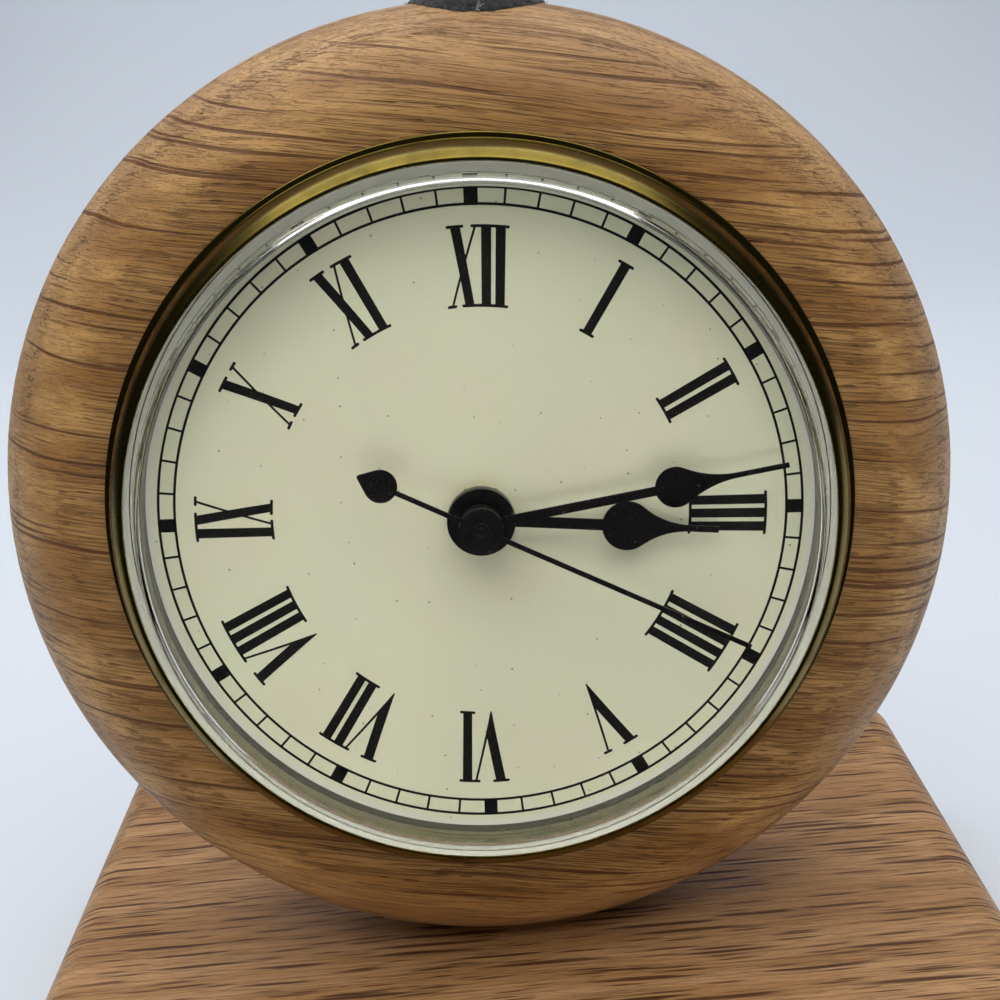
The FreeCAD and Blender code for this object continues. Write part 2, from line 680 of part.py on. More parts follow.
# Button cell between its two contacts
cell_level = f"({cover_inner} + contact_thickness)"
cell_cap_height = "contact_thickness"
cell_can = cylinder("cell_can", "cell_radius", f"cell_height - {cell_cap_height}", *cell_axis, cell_level)
cell_cap = cylinder("cell_cap", "cell_radius - cell_well_wall", "cell_height", *cell_axis, cell_level)
publish("button_cell", fuse("cell", cell_can, cell_cap), insert_place)
contacts = [cylinder("contact_back", "cell_radius - cell_well_wall", "contact_thickness", *cell_axis,
                     cover_inner),
            cylinder("contact_front", "cell_radius - cell_well_wall", "contact_thickness", *cell_axis,
                     f"{well_floor} - contact_thickness")]
publish("cell_contacts", group("contact_pair", *contacts), insert_place)

# Battery hatch: plug and flange with a coin slot
hatch_back = f"({cover_outer} - hatch_thickness)"
hatch_plug = cylinder("hatch_plug", "hatch_plug_radius", f"{cover_inner} - {hatch_back}", *cell_axis,
                      hatch_back)
hatch_rim = cylinder("hatch_rim", hatch_flange_radius, "hatch_thickness", *cell_axis, hatch_back)
hatch_slot = box("hatch_slot", "2 * hatch_plug_radius", "hatch_slot_width", "hatch_slot_depth",
                 f"{cell_axis[0]} - hatch_plug_radius", f"{cell_axis[1]} - hatch_slot_width / 2", hatch_back)
publish("battery_hatch", cut("hatch", fuse("hatch_solid", hatch_plug, hatch_rim), hatch_slot), insert_place)

# Wheels and pinions with involute teeth
PRESSURE = math.radians(size["pressure_angle"])
PINION_CHORDS = 3
WHEEL_CHORDS = 1


def involute(angle):
    return math.tan(angle) - angle


def tooth_section(teeth, module, shift, low, high, phase, steps):
    # the outline of one tooth, as radius and half angle from root to tip, repeated round the wheel
    pitch = module * teeth / 2
    base = pitch * math.cos(PRESSURE)
    tip = pitch + module * (shift + size["tooth_addendum"])
    root = pitch + module * (shift - size["tooth_dedendum"])
    thickness = module * (math.pi / 2 + 2 * shift * math.tan(PRESSURE) - size["tooth_backlash"])
    half_at_base = thickness / (2 * pitch) + involute(PRESSURE)
    start = max(base, root)
    flank = [(root, half_at_base)] if root < base else []
    for step in range(steps + 1):
        radius = start + (tip - start) * step / steps
        flank.append((radius, half_at_base - involute(math.acos(base / radius))))
    corners = []
    for tooth in range(teeth):
        middle = phase + 2 * math.pi * tooth / teeth
        rising = [(radius, middle - half) for radius, half in flank]
        falling = [(radius, middle + half) for radius, half in reversed(flank)]
        corners += rising + falling
    points = [FreeCAD.Vector(r * math.cos(a), r * math.sin(a), low) for r, a in corners]
    face = Part.Face(Part.makePolygon(points + points[:1]))
    return face.extrude(FreeCAD.Vector(0, 0, high - low))


def rod(radius, low, high):
    return Part.makeCylinder(radius, high - low, FreeCAD.Vector(0, 0, low))


def wheel_part(label, solids, bores, axis):
    shape = solids[0].fuse(solids[1:]) if len(solids) > 1 else solids[0]
    if bores:
        shape = shape.cut(bores)
    item = doc.addObject("Part::Feature", label + "_solid")
    item.Shape = shape.removeSplitter()
    local_places[item.Name] = place(axis[0], axis[1], plate_inner)
    publish(label, item, insert_place)
    return item


def mesh(pinion_name, wheel_name, module, direction, layer, shift):
    # a pinion and the wheel that it meshes with, set tooth into space along the line of centres
    low, high, overhang = layer
    pinion_teeth, wheel_teeth = int(size[pinion_name]), int(size[wheel_name])
    toward = math.radians(direction)
    away = toward + math.pi + math.pi / wheel_teeth
    ends = (low - overhang, high + overhang)
    pinion = tooth_section(pinion_teeth, module, shift, *ends, toward, PINION_CHORDS)
    wheel = tooth_section(wheel_teeth, module, -shift, low, high, away, WHEEL_CHORDS)
    return pinion, wheel


# Layers behind the front plate, measured from its inner face
gap = size["layer_gap"]
motion_front = -gap
motion_back = motion_front - size["motion_width"]
cannon_front = motion_back - gap
cannon_back = cannon_front - size["motion_width"]
over = size["pinion_overhang"]
thick = size["wheel_width"]
levels = [cannon_back - size["layer_pitch"] * (number + 1) for number in range(4)]
centre_level = levels[0]
centre_layer, third_layer, second_layer, rotor_layer = [(level, level + thick, over) for level in levels]
cannon_layer = (cannon_back, cannon_front, 0)
motion_layer = (motion_back, motion_front, 0)
cavity = size["movement_depth"] - 2 * size["housing_wall"]
front_pivot = size["pivot_depth"]
back_pivot = -cavity - size["pivot_depth"]
clearance = size["running_gap"]
plate_level = -(size["dial_drop"] + size["dial_thickness"] + size["housing_wall"])

third_centre_module = size["third_module"] * (size["second_pinion_teeth"] + size["third_teeth"])
third_centre_module = third_centre_module / (size["third_pinion_teeth"] + size["centre_teeth"])
hour_module = size["motion_module"] * (size["cannon_teeth"] + size["minute_teeth"])
hour_module = hour_module / (size["minute_pinion_teeth"] + size["hour_teeth"])

shift = size["pinion_shift"]
back = 180
rotor_pinion, intermediate_wheel = mesh("rotor_teeth", "intermediate_teeth", size["rotor_module"],
                                        size["rotor_direction"] + back, rotor_layer, shift)
intermediate_pinion, second_wheel = mesh("intermediate_pinion_teeth", "second_teeth", size["second_module"],
                                         size["intermediate_direction"] + back, second_layer, shift)
second_pinion, third_wheel = mesh("second_pinion_teeth", "third_teeth", size["third_module"],
                                  size["third_direction"], third_layer, shift)
third_pinion, centre_wheel = mesh("third_pinion_teeth", "centre_teeth", third_centre_module,
                                  size["third_direction"] + back, centre_layer, shift)
cannon_pinion, minute_wheel = mesh("cannon_teeth", "minute_teeth", size["motion_module"],
                                   size["minute_direction"], cannon_layer, size["cannon_shift"])
minute_pinion, hour_wheel = mesh("minute_pinion_teeth", "hour_teeth", hour_module,
                                 size["minute_direction"] + back, motion_layer, shift)

arbor = rod(size["arbor_radius"], back_pivot, front_pivot)
magnet_middle = -cavity / 2
magnet = rod(size["magnet_radius"], magnet_middle - size["magnet_length"] / 2,
             magnet_middle + size["magnet_length"] / 2)
centre = ("0", "0")
wheel_part("motor_rotor", [arbor, magnet, rotor_pinion], [], rotor_axis)
wheel_part("intermediate_wheel", [arbor, intermediate_wheel, intermediate_pinion], [], intermediate_axis)
wheel_part("third_wheel", [arbor, third_wheel, third_pinion], [], third_axis)

# Second arbor runs from the cover to the second hand
second_hub_low = size["second_hand_level"] - size["second_hub_height"] / 2
second_hub_top = second_hub_low + size["second_hub_height"]
second_arbor = rod(size["second_arbor_radius"], back_pivot, second_hub_top - gap - plate_level)
wheel_part("second_wheel", [second_arbor, second_wheel, second_pinion], [], centre)

# Centre wheel on a tube round the second arbor, inside the cannon pinion that it drives by friction
second_hole = size["second_arbor_radius"] + clearance
tube_radius = second_hole + size["centre_tube_wall"]
centre_tube_rod = rod(tube_radius, centre_level, motion_front)
centre_bore = rod(second_hole, centre_level - gap, gap)
wheel_part("centre_wheel", [centre_wheel, centre_tube_rod], [centre_bore], centre)

# Cannon pinion carries the minute hand
cannon_hole = tube_radius + clearance
cannon_radius = cannon_hole + size["cannon_tube_wall"]
minute_hub_low = size["minute_hand_level"] - size["hand_thickness"]
cannon_end = minute_hub_low + size["minute_hub_height"] - plate_level
cannon_rod = rod(cannon_radius, cannon_back, cannon_end)
wheel_part("cannon_pinion", [cannon_pinion, cannon_rod],
           [rod(cannon_hole, cannon_back - gap, cannon_end + gap)], centre)

# Hour wheel carries the hour hand on its tube
hour_hole = cannon_radius + clearance
hour_radius = hour_hole + size["hour_tube_wall"]
hour_end = size["hour_hand_level"] + size["hand_thickness"] + size["hour_hub_rise"] - plate_level
wheel_part("hour_wheel", [hour_wheel, rod(hour_radius, motion_back, hour_end)],
           [rod(hour_hole, motion_back - gap, hour_end + gap)], centre)

# Minute wheel, whose arbor comes out at the back to the setting knob
knob_front = -cavity - size["housing_wall"] - size["cup_wall"] - size["setting_knob_gap"]
knob_back = knob_front - size["setting_knob_height"]
setting_arbor = rod(size["setting_arbor_radius"], knob_back, motion_front)
minute_front = rod(size["arbor_radius"], motion_back, front_pivot)
wheel_part("minute_wheel", [setting_arbor, minute_front, minute_wheel, minute_pinion], [], minute_axis)
grips = int(size["setting_knob_grips"])
grip_points = []
for number in range(2 * grips):
    radius = size["setting_knob_radius"] - (size["running_gap"] * 5 if number % 2 else 0)
    angle = math.pi * number / grips
    grip_points.append(FreeCAD.Vector(radius * math.cos(angle), radius * math.sin(angle), knob_back))
knob_face = Part.Face(Part.makePolygon(grip_points + grip_points[:1]))
knob_disc = knob_face.extrude(FreeCAD.Vector(0, 0, size["setting_knob_height"]))
knob_bore = rod(size["setting_arbor_radius"], knob_back - gap, knob_front + gap)
wheel_part("setting_knob", [knob_disc], [knob_bore], minute_axis)

# Spade hands: hub, stem, round spade, and a taper whose sides are arcs tangent to the spade
def hand_place(kind):
    return f"{insert_place} * {place(turn=('0', '0', '1', f'90 - {kind}_hand_angle'))}"


def bar(name, low, high, width, level):
    return box(name, f"{high} - ({low})", width, "hand_thickness", low, f"-({width}) / 2", level)


def spade_hand(kind, bore):
    level = f"{kind}_hand_level"
    spade, radius = f"{kind}_spade_reach", f"{kind}_spade_radius"
    taper, half_tip = f"{kind}_taper_reach", f"({kind}_tip_width / 2)"
    hub = cylinder(f"{kind}_hub", f"{kind}_hub_radius", f"{kind}_hub_height",
                   z=f"{level} + hand_thickness + {kind}_hub_rise - {kind}_hub_height")
    stem = bar(f"{kind}_stem", "0", spade, f"{kind}_stem_width", level)
    disc = cylinder(f"{kind}_spade", radius, "hand_thickness", spade, "0", level)
    step = f"({taper} - {spade})"
    sweep = f"(({step} ^ 2 + {half_tip} ^ 2 - {radius} ^ 2) / (2 * ({radius} - {half_tip})))"
    touch = f"({radius} * ({half_tip} + {sweep}) / ({radius} + {sweep}))"
    blade = bar(f"{kind}_blade", spade, taper, f"2 * {touch}", level)
    sides = [cylinder(f"{kind}_side_{tag}", sweep, "3 * hand_thickness", taper,
                      f"{sign}({half_tip} + {sweep})", f"{level} - hand_thickness")
             for tag, sign in (("left", ""), ("right", "-"))]
    taper_blade = cut(f"{kind}_taper", blade, *sides)
    tip = bar(f"{kind}_tip", taper, f"{kind}_tip_reach", f"{kind}_tip_width", level)
    whole = fuse(f"{kind}_whole", hub, stem, disc, taper_blade, tip)
    hole = cylinder(f"{kind}_hub_hole", bore, f"4 * hand_thickness + {kind}_hub_rise",
                    z=f"{level} - 2 * hand_thickness")
    publish(f"{kind}_hand", cut(f"{kind}_drilled", whole, hole), hand_place(kind))


spade_hand("hour", hour_tube)
spade_hand("minute", cannon_tube)

# Second hand: cap, straight stem and a pointed drop on its tail
second_level = "second_hand_level"
cap = cylinder("second_cap", "second_hub_radius", "second_hub_height",
               z=f"{second_level} - second_hub_height / 2")
second_stem = bar("second_stem", "-second_tail_reach", "second_tip_reach", "second_stem_width", second_level)
drop = cylinder("second_drop", "second_tail_radius", "hand_thickness", "-second_tail_reach", "0",
                second_level)
drop_step = "(second_tail_point - second_tail_reach)"
drop_cone = doc.addObject("Part::Wedge", "second_drop_point")
drop_touch = "(second_tail_radius * 0.8)"
drop_start = "(second_tail_radius * 0.6)"
bind(drop_cone, Xmin="0", Xmax="hand_thickness", X2min="0", X2max="hand_thickness", Ymin="0",
     Ymax=f"{drop_step} - {drop_start}", Zmin=f"-{drop_touch}", Zmax=drop_touch,
     Z2min="-second_stem_width / 4", Z2max="second_stem_width / 4")
set_place(drop_cone, place(f"-second_tail_reach - {drop_start}", "0", f"{second_level} + hand_thickness",
                           ("0", "0", "1", "90")) + " * " + place(turn=("0", "1", "0", "90")))
second_whole = fuse("second_whole", cap, second_stem, drop, drop_cone)
second_hole_cut = cylinder("second_hub_hole", "second_arbor_radius", "second_hub_height",
                           z=f"{second_level} - second_hub_height / 2 - layer_gap")
publish("second_hand", cut("second_drilled", second_whole, second_hole_cut), hand_place("second"))

# Check the document, then write one file for each sub-part
doc.recompute()
for item in doc.Objects:
    bad = [state for state in item.State if state in ("Invalid", "Error")]
    if bad:
        raise RuntimeError(f"{item.Name} is {bad}")
for item in subparts:
    if item.Shape.isNull() or not item.Shape.isValid():
        raise RuntimeError(f"{item.Label} has no valid shape")
os.makedirs("parts", exist_ok=True)
for item in subparts:
    item.Shape.exportStep(f"parts/{item.Label}.step")
    print(f"{item.Label}: {len(item.Shape.Solids)} solids, {item.Shape.Volume:.1f} mm3")
print(f"{len(subparts)} sub-parts written")
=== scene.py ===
import json
import math
import bpy
import bmesh
from mathutils import Matrix, Vector, geometry, noise

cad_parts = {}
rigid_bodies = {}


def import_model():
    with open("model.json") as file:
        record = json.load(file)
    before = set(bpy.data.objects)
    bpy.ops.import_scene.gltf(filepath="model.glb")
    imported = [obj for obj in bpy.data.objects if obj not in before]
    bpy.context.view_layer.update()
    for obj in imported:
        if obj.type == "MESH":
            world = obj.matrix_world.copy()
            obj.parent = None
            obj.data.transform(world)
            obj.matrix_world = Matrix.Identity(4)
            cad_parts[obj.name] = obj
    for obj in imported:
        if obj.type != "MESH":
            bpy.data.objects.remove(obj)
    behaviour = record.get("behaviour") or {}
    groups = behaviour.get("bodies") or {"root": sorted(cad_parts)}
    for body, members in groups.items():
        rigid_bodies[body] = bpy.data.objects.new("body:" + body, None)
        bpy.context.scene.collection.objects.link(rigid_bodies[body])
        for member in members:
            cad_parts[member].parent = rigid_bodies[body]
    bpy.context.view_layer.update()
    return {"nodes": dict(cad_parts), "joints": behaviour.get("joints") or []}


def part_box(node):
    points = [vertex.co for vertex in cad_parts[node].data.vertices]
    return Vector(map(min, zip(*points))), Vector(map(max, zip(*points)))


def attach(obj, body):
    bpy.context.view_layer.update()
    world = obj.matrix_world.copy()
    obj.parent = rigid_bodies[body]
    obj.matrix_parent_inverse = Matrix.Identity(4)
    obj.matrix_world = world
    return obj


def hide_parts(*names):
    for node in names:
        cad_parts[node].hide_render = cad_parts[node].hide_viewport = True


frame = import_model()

scene = bpy.context.scene
cad = frame["nodes"]
joints = {joint["name"]: joint for joint in frame["joints"]}
mm = 0.001
noise.seed_set(7)  # the felt's edge is the same each run


def frameOf(x, y, z, start):
    return Matrix((
        (x.x, y.x, z.x, start.x), (x.y, y.y, z.y, start.y), (x.z, y.z, z.z, start.z), (0, 0, 0, 1)))


# the dial's own frame: right, up, out of the glass
outward = -Vector(joints["second_turn"]["axis"])
dialCentre = Vector(joints["second_turn"]["pos_m"])
dialUp = dialCentre - Vector(joints["setting_turn"]["pos_m"])  # the setting arbor is straight below
dialUp = (dialUp - outward * dialUp.dot(outward)).normalized()
dialRight = dialUp.cross(outward)
dialFrame = frameOf(dialRight, dialUp, outward, dialCentre)
level = Vector((1, 0, 0))
caseUp = outward.cross(level).normalized()
print("stage: frame loaded,", len(cad), "nodes")


# shader sums as plain Python
class Value:
    def __init__(self, finish, socket):
        self.finish, self.socket = finish, socket

    def sums(self, operation, first, second):
        return self.finish.node("ShaderNodeMath", {"operation": operation}, {0: first, 1: second})

    def __add__(self, other): return self.sums("ADD", self, other)
    def __radd__(self, other): return self.sums("ADD", other, self)
    def __sub__(self, other): return self.sums("SUBTRACT", self, other)
    def __rsub__(self, other): return self.sums("SUBTRACT", other, self)
    def __mul__(self, other): return self.sums("MULTIPLY", self, other)
    def __truediv__(self, other): return self.sums("DIVIDE", self, other)
    def __pow__(self, other): return self.sums("POWER", self, other)

    def also(self, index):  # another output of the same node
        return Value(self.finish, self.socket.node.outputs[index])


class Finish:
    def __init__(self, name):
        self.material = bpy.data.materials.new(name)
        self.material.use_nodes = True
        self.tree = self.material.node_tree
        self.tree.nodes.clear()

    def node(self, kind, settings=None, sockets=None, out=0):
        made = self.tree.nodes.new(kind)
        for key, value in (settings or {}).items():
            setattr(made, key, value)
        for key, value in (sockets or {}).items():
            if isinstance(value, Value):
                self.tree.links.new(value.socket, made.inputs[key])
            else:
                made.inputs[key].default_value = value
        return Value(self, made.outputs[out])

    def spot(self):
        return self.node("ShaderNodeTexCoord", out=3)

    def along(self, spot, axis, start=None):  # millimetres along an axis
        axis = Vector(axis)
        reach = self.node("ShaderNodeVectorMath", {"operation": "DOT_PRODUCT"}, {0: spot, 1: axis / mm}, 1)
        return reach if start is None else reach - axis.dot(start) / mm

    def away(self, spot, start):
        return self.node("ShaderNodeVectorMath", {"operation": "SUBTRACT"}, {0: spot, 1: Vector(start)})

    def place(self, x, y, z):
        return self.node("ShaderNodeCombineXYZ", None, {0: x, 1: y, 2: z})

    def noise(self, spot, scale=1.0, detail=2.0, rough=0.5):
        return self.node("ShaderNodeTexNoise", None,
                         {"Vector": spot, "Scale": scale, "Detail": detail, "Roughness": rough})

    def cells(self, spot, scale=1.0, flat=False):
        return self.node("ShaderNodeTexVoronoi", {"voronoi_dimensions": "2D" if flat else "3D"},
                         {"Vector": spot, "Scale": scale})

    def rise(self, value, low, high, first=0.0, last=1.0):
        return self.node("ShaderNodeMapRange", {"interpolation_type": "SMOOTHSTEP"}, {
            "Value": value, "From Min": low, "From Max": high, "To Min": first, "To Max": last})

    def specks(self, spot, share, size, soft=0.55, scale=1.0, flat=False):  # a share of the cells holds a speck
        cell = self.cells(spot, scale, flat)
        chance = self.node("ShaderNodeSeparateColor", None, {0: cell.also(1)})
        reach = self.rise(chance, 1 - share, 1.02 - share) * (chance.also(1) * 0.55 + 0.45) * size
        return self.rise(cell / (reach + 0.0001), soft, 1.0, 1.0, 0.0)

    def mix(self, share, first, second):
        return self.node("ShaderNodeMix", {"data_type": "RGBA"}, {0: share, 6: first, 7: second}, 2)

    def bump(self, height, depth, strength):
        return self.node("ShaderNodeBump", None, {"Height": height, "Distance": depth, "Strength": strength})

    def end(self, shader):
        made = self.tree.nodes.new("ShaderNodeOutputMaterial")
        self.tree.links.new(shader.socket, made.inputs["Surface"])
        return self.material

    def paint(self, **sockets):
        names = {"color": "Base Color", "rough": "Roughness", "metal": "Metallic", "coat": "Coat Weight",
                 "coatRough": "Coat Roughness", "normal": "Normal", "sheen": "Sheen Weight", "ior": "IOR",
                 "through": "Transmission Weight", "specular": "Specular IOR Level"}
        return self.node("ShaderNodeBsdfPrincipled", None, {names[key]: value for key, value in sockets.items()})


def rgb(red, green, blue):  # screen values, 0 to 255
    def light(part):
        part /= 255
        return part / 12.92 if part <= 0.04045 else ((part + 0.055) / 1.055) ** 2.4
    return (light(red), light(green), light(blue), 1.0)


# oak, cut from the solid: rays and pores run through the wood and come out on every face
discOak = {
    "light": rgb(216, 167, 100), "mid": rgb(170, 121, 62), "early": rgb(142, 97, 48),
    # the rim's pale tone is a painted sheen, light glancing off the rounded edge
    "ray": rgb(106, 62, 27), "pore": rgb(92, 56, 22), "paintedSheen": rgb(212, 180, 142),
    "facePhase": 0.16, "ringPitch": 5.4, "ringTilt": 0.012, "ringWander": 3.4, "porousShare": 0.30, "wander": 3.0,
    "rayCell": (66.0, 1.05), "raySlope": 0.10, "rayShare": 0.76, "raySize": 0.31, "rayDepth": 0.86,
    "poreCell": (21.0, 0.24, 1.3), "poreDepth": 0.42,
    "flakeCell": (10.0, 0.7), "flakeShare": 0.4, "flakeDepth": 0.55,
}
baseOak = dict(discOak, rayCell=(32.0, 1.5), rayShare=0.78, raySize=0.33, rayDepth=0.92, raySlope=0.2,
               flakeCell=(14.0, 0.9), flakeShare=0.68, flakeDepth=0.8, facePhase=0.2, ringWander=5.0, ringTilt=0.06,
               wander=2.0, light=rgb(208, 162, 114), mid=rgb(186, 140, 91), ray=rgb(92, 52, 25))
oakGrain = {  # millimetres along the grain, across it and into the wood
    "sway": (46, 16, 16), "slow": (60, 15, 22), "ragged": (5, 0.6, 0.6), "grit": (0.8, 0.32, 0.32),
    "pit": (3.4, 0.62, 0.62), "fine": (2.6, 0.14, 0.14), "fibre": (16, 0.45, 0.9), "broad": (40, 5, 5),
}


def oakFinish(name, grain, across, deep, start, look):
    f = Finish(name)
    spot = f.spot()
    g, v, d = (f.along(spot, axis, start) for axis in (grain, across, deep))

    def sized(word):
        far, wide, thick = oakGrain[word]
        return f.place(g / far, v / wide, d / thick)

    sway = f.noise(sized("sway"))
    v = v + (sway - 0.5) * look["wander"]
    slow = f.noise(sized("slow"), detail=1.5)
    ragged = f.noise(sized("ragged"))
    ring = (v * look["ringTilt"] - d + (slow - 0.5) * look["ringWander"] + (ragged - 0.5) * 0.9) / look["ringPitch"]
    phase = f.node("ShaderNodeMath", {"operation": "FRACT"}, {0: ring + (look["facePhase"] + 20)})
    share = look["porousShare"]
    early = f.rise(phase, share - 0.05, share + 0.07, 1.0, 0.0) * f.rise(phase, 0.0, 0.03)  # a year's porous growth
    far, wide = look["rayCell"]
    sheet = v + d * look["raySlope"]
    cell = f.place((g + sheet * 2.3) / far, sheet / wide, 0.0)  # sheared, so that no columns show
    rays = f.specks(cell, look["rayShare"], look["raySize"], 0.45, flat=True)
    far, wide = look["flakeCell"]
    cell = f.place((g - sheet * 3.1) / far + 31, sheet / wide, 0.0)
    flakes = f.specks(cell, look["flakeShare"], 0.34, 0.4, flat=True)
    facing = f.node("ShaderNodeTexCoord", out=1)
    ends, edges, faces = (f.along(facing, Vector(axis) * mm) for axis in (grain, across, deep))
    endGrain = f.rise(ends * ends, 0.15, 0.7)
    edgeGrain = f.rise(edges * edges, 0.35, 0.65)
    rim = f.rise(faces * faces, 0.15, 0.99, 1.0, 0.0)  # sanded round, so gritty; also painted paler, a painted sheen of light on the rim
    grit = f.rise(f.noise(sized("grit")), 0.5, 0.64)
    far, wide, thick = look["poreCell"]
    face = f.noise(f.place(g / far, v / wide, d / thick), detail=1.5)
    edge = f.noise(f.place(g / far, v / thick, d / wide), detail=1.5)
    lines = f.rise(face + (edge - face) * edgeGrain + early * 0.05, 0.565, 0.655)
    pits = f.specks(sized("pit"), 0.5, 0.42) * early
    fine = f.rise(f.noise(sized("fine"), detail=1), 0.58, 0.72)
    fibre = f.noise(sized("fibre"), detail=3)
    broad = f.noise(sized("broad"))
    tone = f.mix(f.rise(broad, 0.34, 0.64), look["light"], look["mid"])
    tone = f.mix(early * (0.22 - endGrain * 0.16), tone, look["early"])
    tone = f.mix(f.rise(fibre, 0.3, 0.66, 0.4, 0.0), tone, look["early"])
    # painted sheen: the rim is lightened as if lit by a glancing light
    tone = f.mix(rim * 0.4, tone, look["paintedSheen"])
    tone = f.mix(rim * grit * 0.4, tone, look["early"])
    tone = f.mix(fine * (0.17 + edgeGrain * 0.2 + endGrain * 0.12), tone, look["pore"])
    tone = f.mix(lines * (early * 0.86 + 0.14) * (1 - endGrain * 0.5) * look["poreDepth"], tone, look["pore"])
    tone = f.mix(pits * 0.4, tone, look["pore"])
    edgeOn = 1 - edgeGrain * 0.78  # rays seen broadside are pale flakes
    tone = f.mix(flakes * edgeOn * look["flakeDepth"], tone, look["ray"])
    tone = f.mix(rays * edgeOn * look["rayDepth"], tone, look["ray"])
    height = 0.5 + fibre * 0.2 - lines * 0.7 - pits * 0.8 - fine * 0.25 - rays * 0.3
    shader = f.paint(color=tone, rough=0.46 + lines * 0.15 + fibre * 0.12,
                     normal=f.bump(height, 0.00036, 0.9), coat=0.15, coatRough=0.36, specular=0.34)
    return f.end(shader)


turn = math.radians(10.5)  # the disc's grain falls to the right
grainAlong = level * math.cos(turn) - caseUp * math.sin(turn)
grainAcross = level * math.sin(turn) + caseUp * math.cos(turn)
caseOak = oakFinish("discOak", grainAlong, grainAcross, outward, dialCentre, discOak)
slabOak = oakFinish("slabOak", (1, 0, 0), (0, 1, 0), (0, 0, 1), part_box("oak_base")[1], baseOak)


brassLook = {"gold": rgb(122, 107, 50), "dull": rgb(88, 75, 34), "rough": 0.2}


def brassFinish(name, axis, start):
    f = Finish(name)
    spot = f.spot()
    away = f.along(spot, axis, start)
    flat = f.node("ShaderNodeVectorMath", {"operation": "CROSS_PRODUCT"}, {0: f.away(spot, start), 1: axis})
    reach = f.node("ShaderNodeVectorMath", {"operation": "LENGTH"}, {0: flat}, 1) / mm
    lathe = f.noise(f.place(reach * 9, away * 9, 0.0), detail=3)  # turning marks round the axis
    smear = f.noise(spot, 160, 4, 0.6)
    tone = f.mix(f.rise(smear, 0.4, 0.75), brassLook["gold"], brassLook["dull"])
    rough = brassLook["rough"] + lathe * 0.08 + f.rise(smear, 0.45, 0.8) * 0.14
    return f.end(f.paint(color=tone, metal=1.0, rough=rough, normal=f.bump(lathe, 0.000004, 0.5)))


bezelBrass = brassFinish("bezelBrass", outward, dialCentre)
knobLow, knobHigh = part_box("top_knob")
knobTurn = math.radians(4.6)
knobUp = caseUp * math.cos(knobTurn) + level * math.sin(knobTurn)
knobBrass = brassFinish("knobBrass", knobUp, (knobLow + knobHigh) / 2)


def metalFinish(name, bright, dull, rough):
    f = Finish(name)
    spot = f.spot()
    x, y, z = (f.along(spot, axis) for axis in ((1, 0, 0), (0, 1, 0), (0, 0, 1)))
    brushed = f.noise(f.place(x * 0.4, y * 7, z * 7))
    stain = f.noise(spot, 220, 4)
    tone = f.mix(f.rise(stain, 0.42, 0.75), bright, dull)
    rough = rough + brushed * 0.15
    return f.end(f.paint(color=tone, metal=1.0, rough=rough, normal=f.bump(brushed, 0.000006, 0.5)))


steel = metalFinish("zincSteel", rgb(190, 190, 188), rgb(140, 138, 134), 0.24)
canMetal = metalFinish("crystalCan", rgb(206, 206, 204), rgb(170, 170, 168), 0.18)
cellMetal = metalFinish("cellSteel", rgb(200, 199, 196), rgb(150, 149, 146), 0.2)
contactMetal = metalFinish("contactBrass", rgb(206, 178, 110), rgb(160, 130, 70), 0.26)


def mouldedFinish(name, tone, worn, rough, grain, depth, shine=0.5):
    f = Finish(name)
    spot = f.spot()
    spark = f.noise(spot, grain, 3, 0.6)  # spark-eroded mould texture
    cloud = f.noise(spot, 90, 3)
    dust = f.specks(spot, 0.12, 0.3, 0.4, 1400)
    colour = f.mix(f.rise(cloud, 0.35, 0.75, 0.0, 0.6), tone, worn)
    colour = f.mix(dust * 0.25, colour, rgb(150, 146, 138))
    rough = rough + spark * 0.18
    return f.end(f.paint(color=colour, rough=rough, specular=shine, normal=f.bump(spark, depth, 0.6)))


shellPlastic = mouldedFinish("shellPlastic", rgb(26, 26, 28), rgb(38, 38, 40), 0.42, 5200, 0.00002)
wheelNylon = mouldedFinish("wheelNylon", rgb(228, 222, 204), rgb(206, 198, 176), 0.38, 2600, 0.000006)
gripRubber = mouldedFinish("gripRubber", rgb(30, 29, 28), rgb(52, 50, 47), 0.62, 3400, 0.00002)
handLacquer = mouldedFinish("handLacquer", rgb(9, 7, 8), rgb(22, 16, 17), 0.20, 4200, 0.000006, 0.3)


def windingFinish():
    f = Finish("coilWire")
    spot = f.spot()
    run = f.along(spot, dialUp)
    wave = f.node("ShaderNodeMath", {"operation": "SINE"}, {0: run * 42.0 + f.noise(spot, 900) * 3.0})
    turns = wave * 0.5 + 0.5
    tone = f.mix(turns, rgb(96, 42, 20), rgb(190, 104, 56))
    return f.end(f.paint(color=tone, metal=0.85, rough=0.3 + turns * 0.1, normal=f.bump(turns, 0.00004, 0.7)))


def boardFinish():
    f = Finish("boardMask")
    spot = f.spot()
    x, y = f.along(spot, dialRight), f.along(spot, dialUp)
    tracks = f.cells(f.place(x * 0.7, y * 1.6, 0.0))
    copper = f.rise(tracks, 0.38, 0.44)
    weave = f.noise(f.place(x * 6, y * 6, 0.0))
    tone = f.mix(copper, rgb(30, 84, 50), rgb(58, 120, 74))
    tone = f.mix(f.rise(weave, 0.4, 0.7, 0.0, 0.3), tone, rgb(22, 62, 38))
    return f.end(f.paint(color=tone, rough=0.34 + weave * 0.15, normal=f.bump(copper, 0.00003, 0.6)))


dialLook = {"ivory": rgb(236, 239, 210), "warm": rgb(238, 236, 208), "grain": rgb(196, 190, 164),
            "speck": rgb(84, 68, 46), "bare": rgb(238, 238, 226), "print": (37.35, 37.45)}


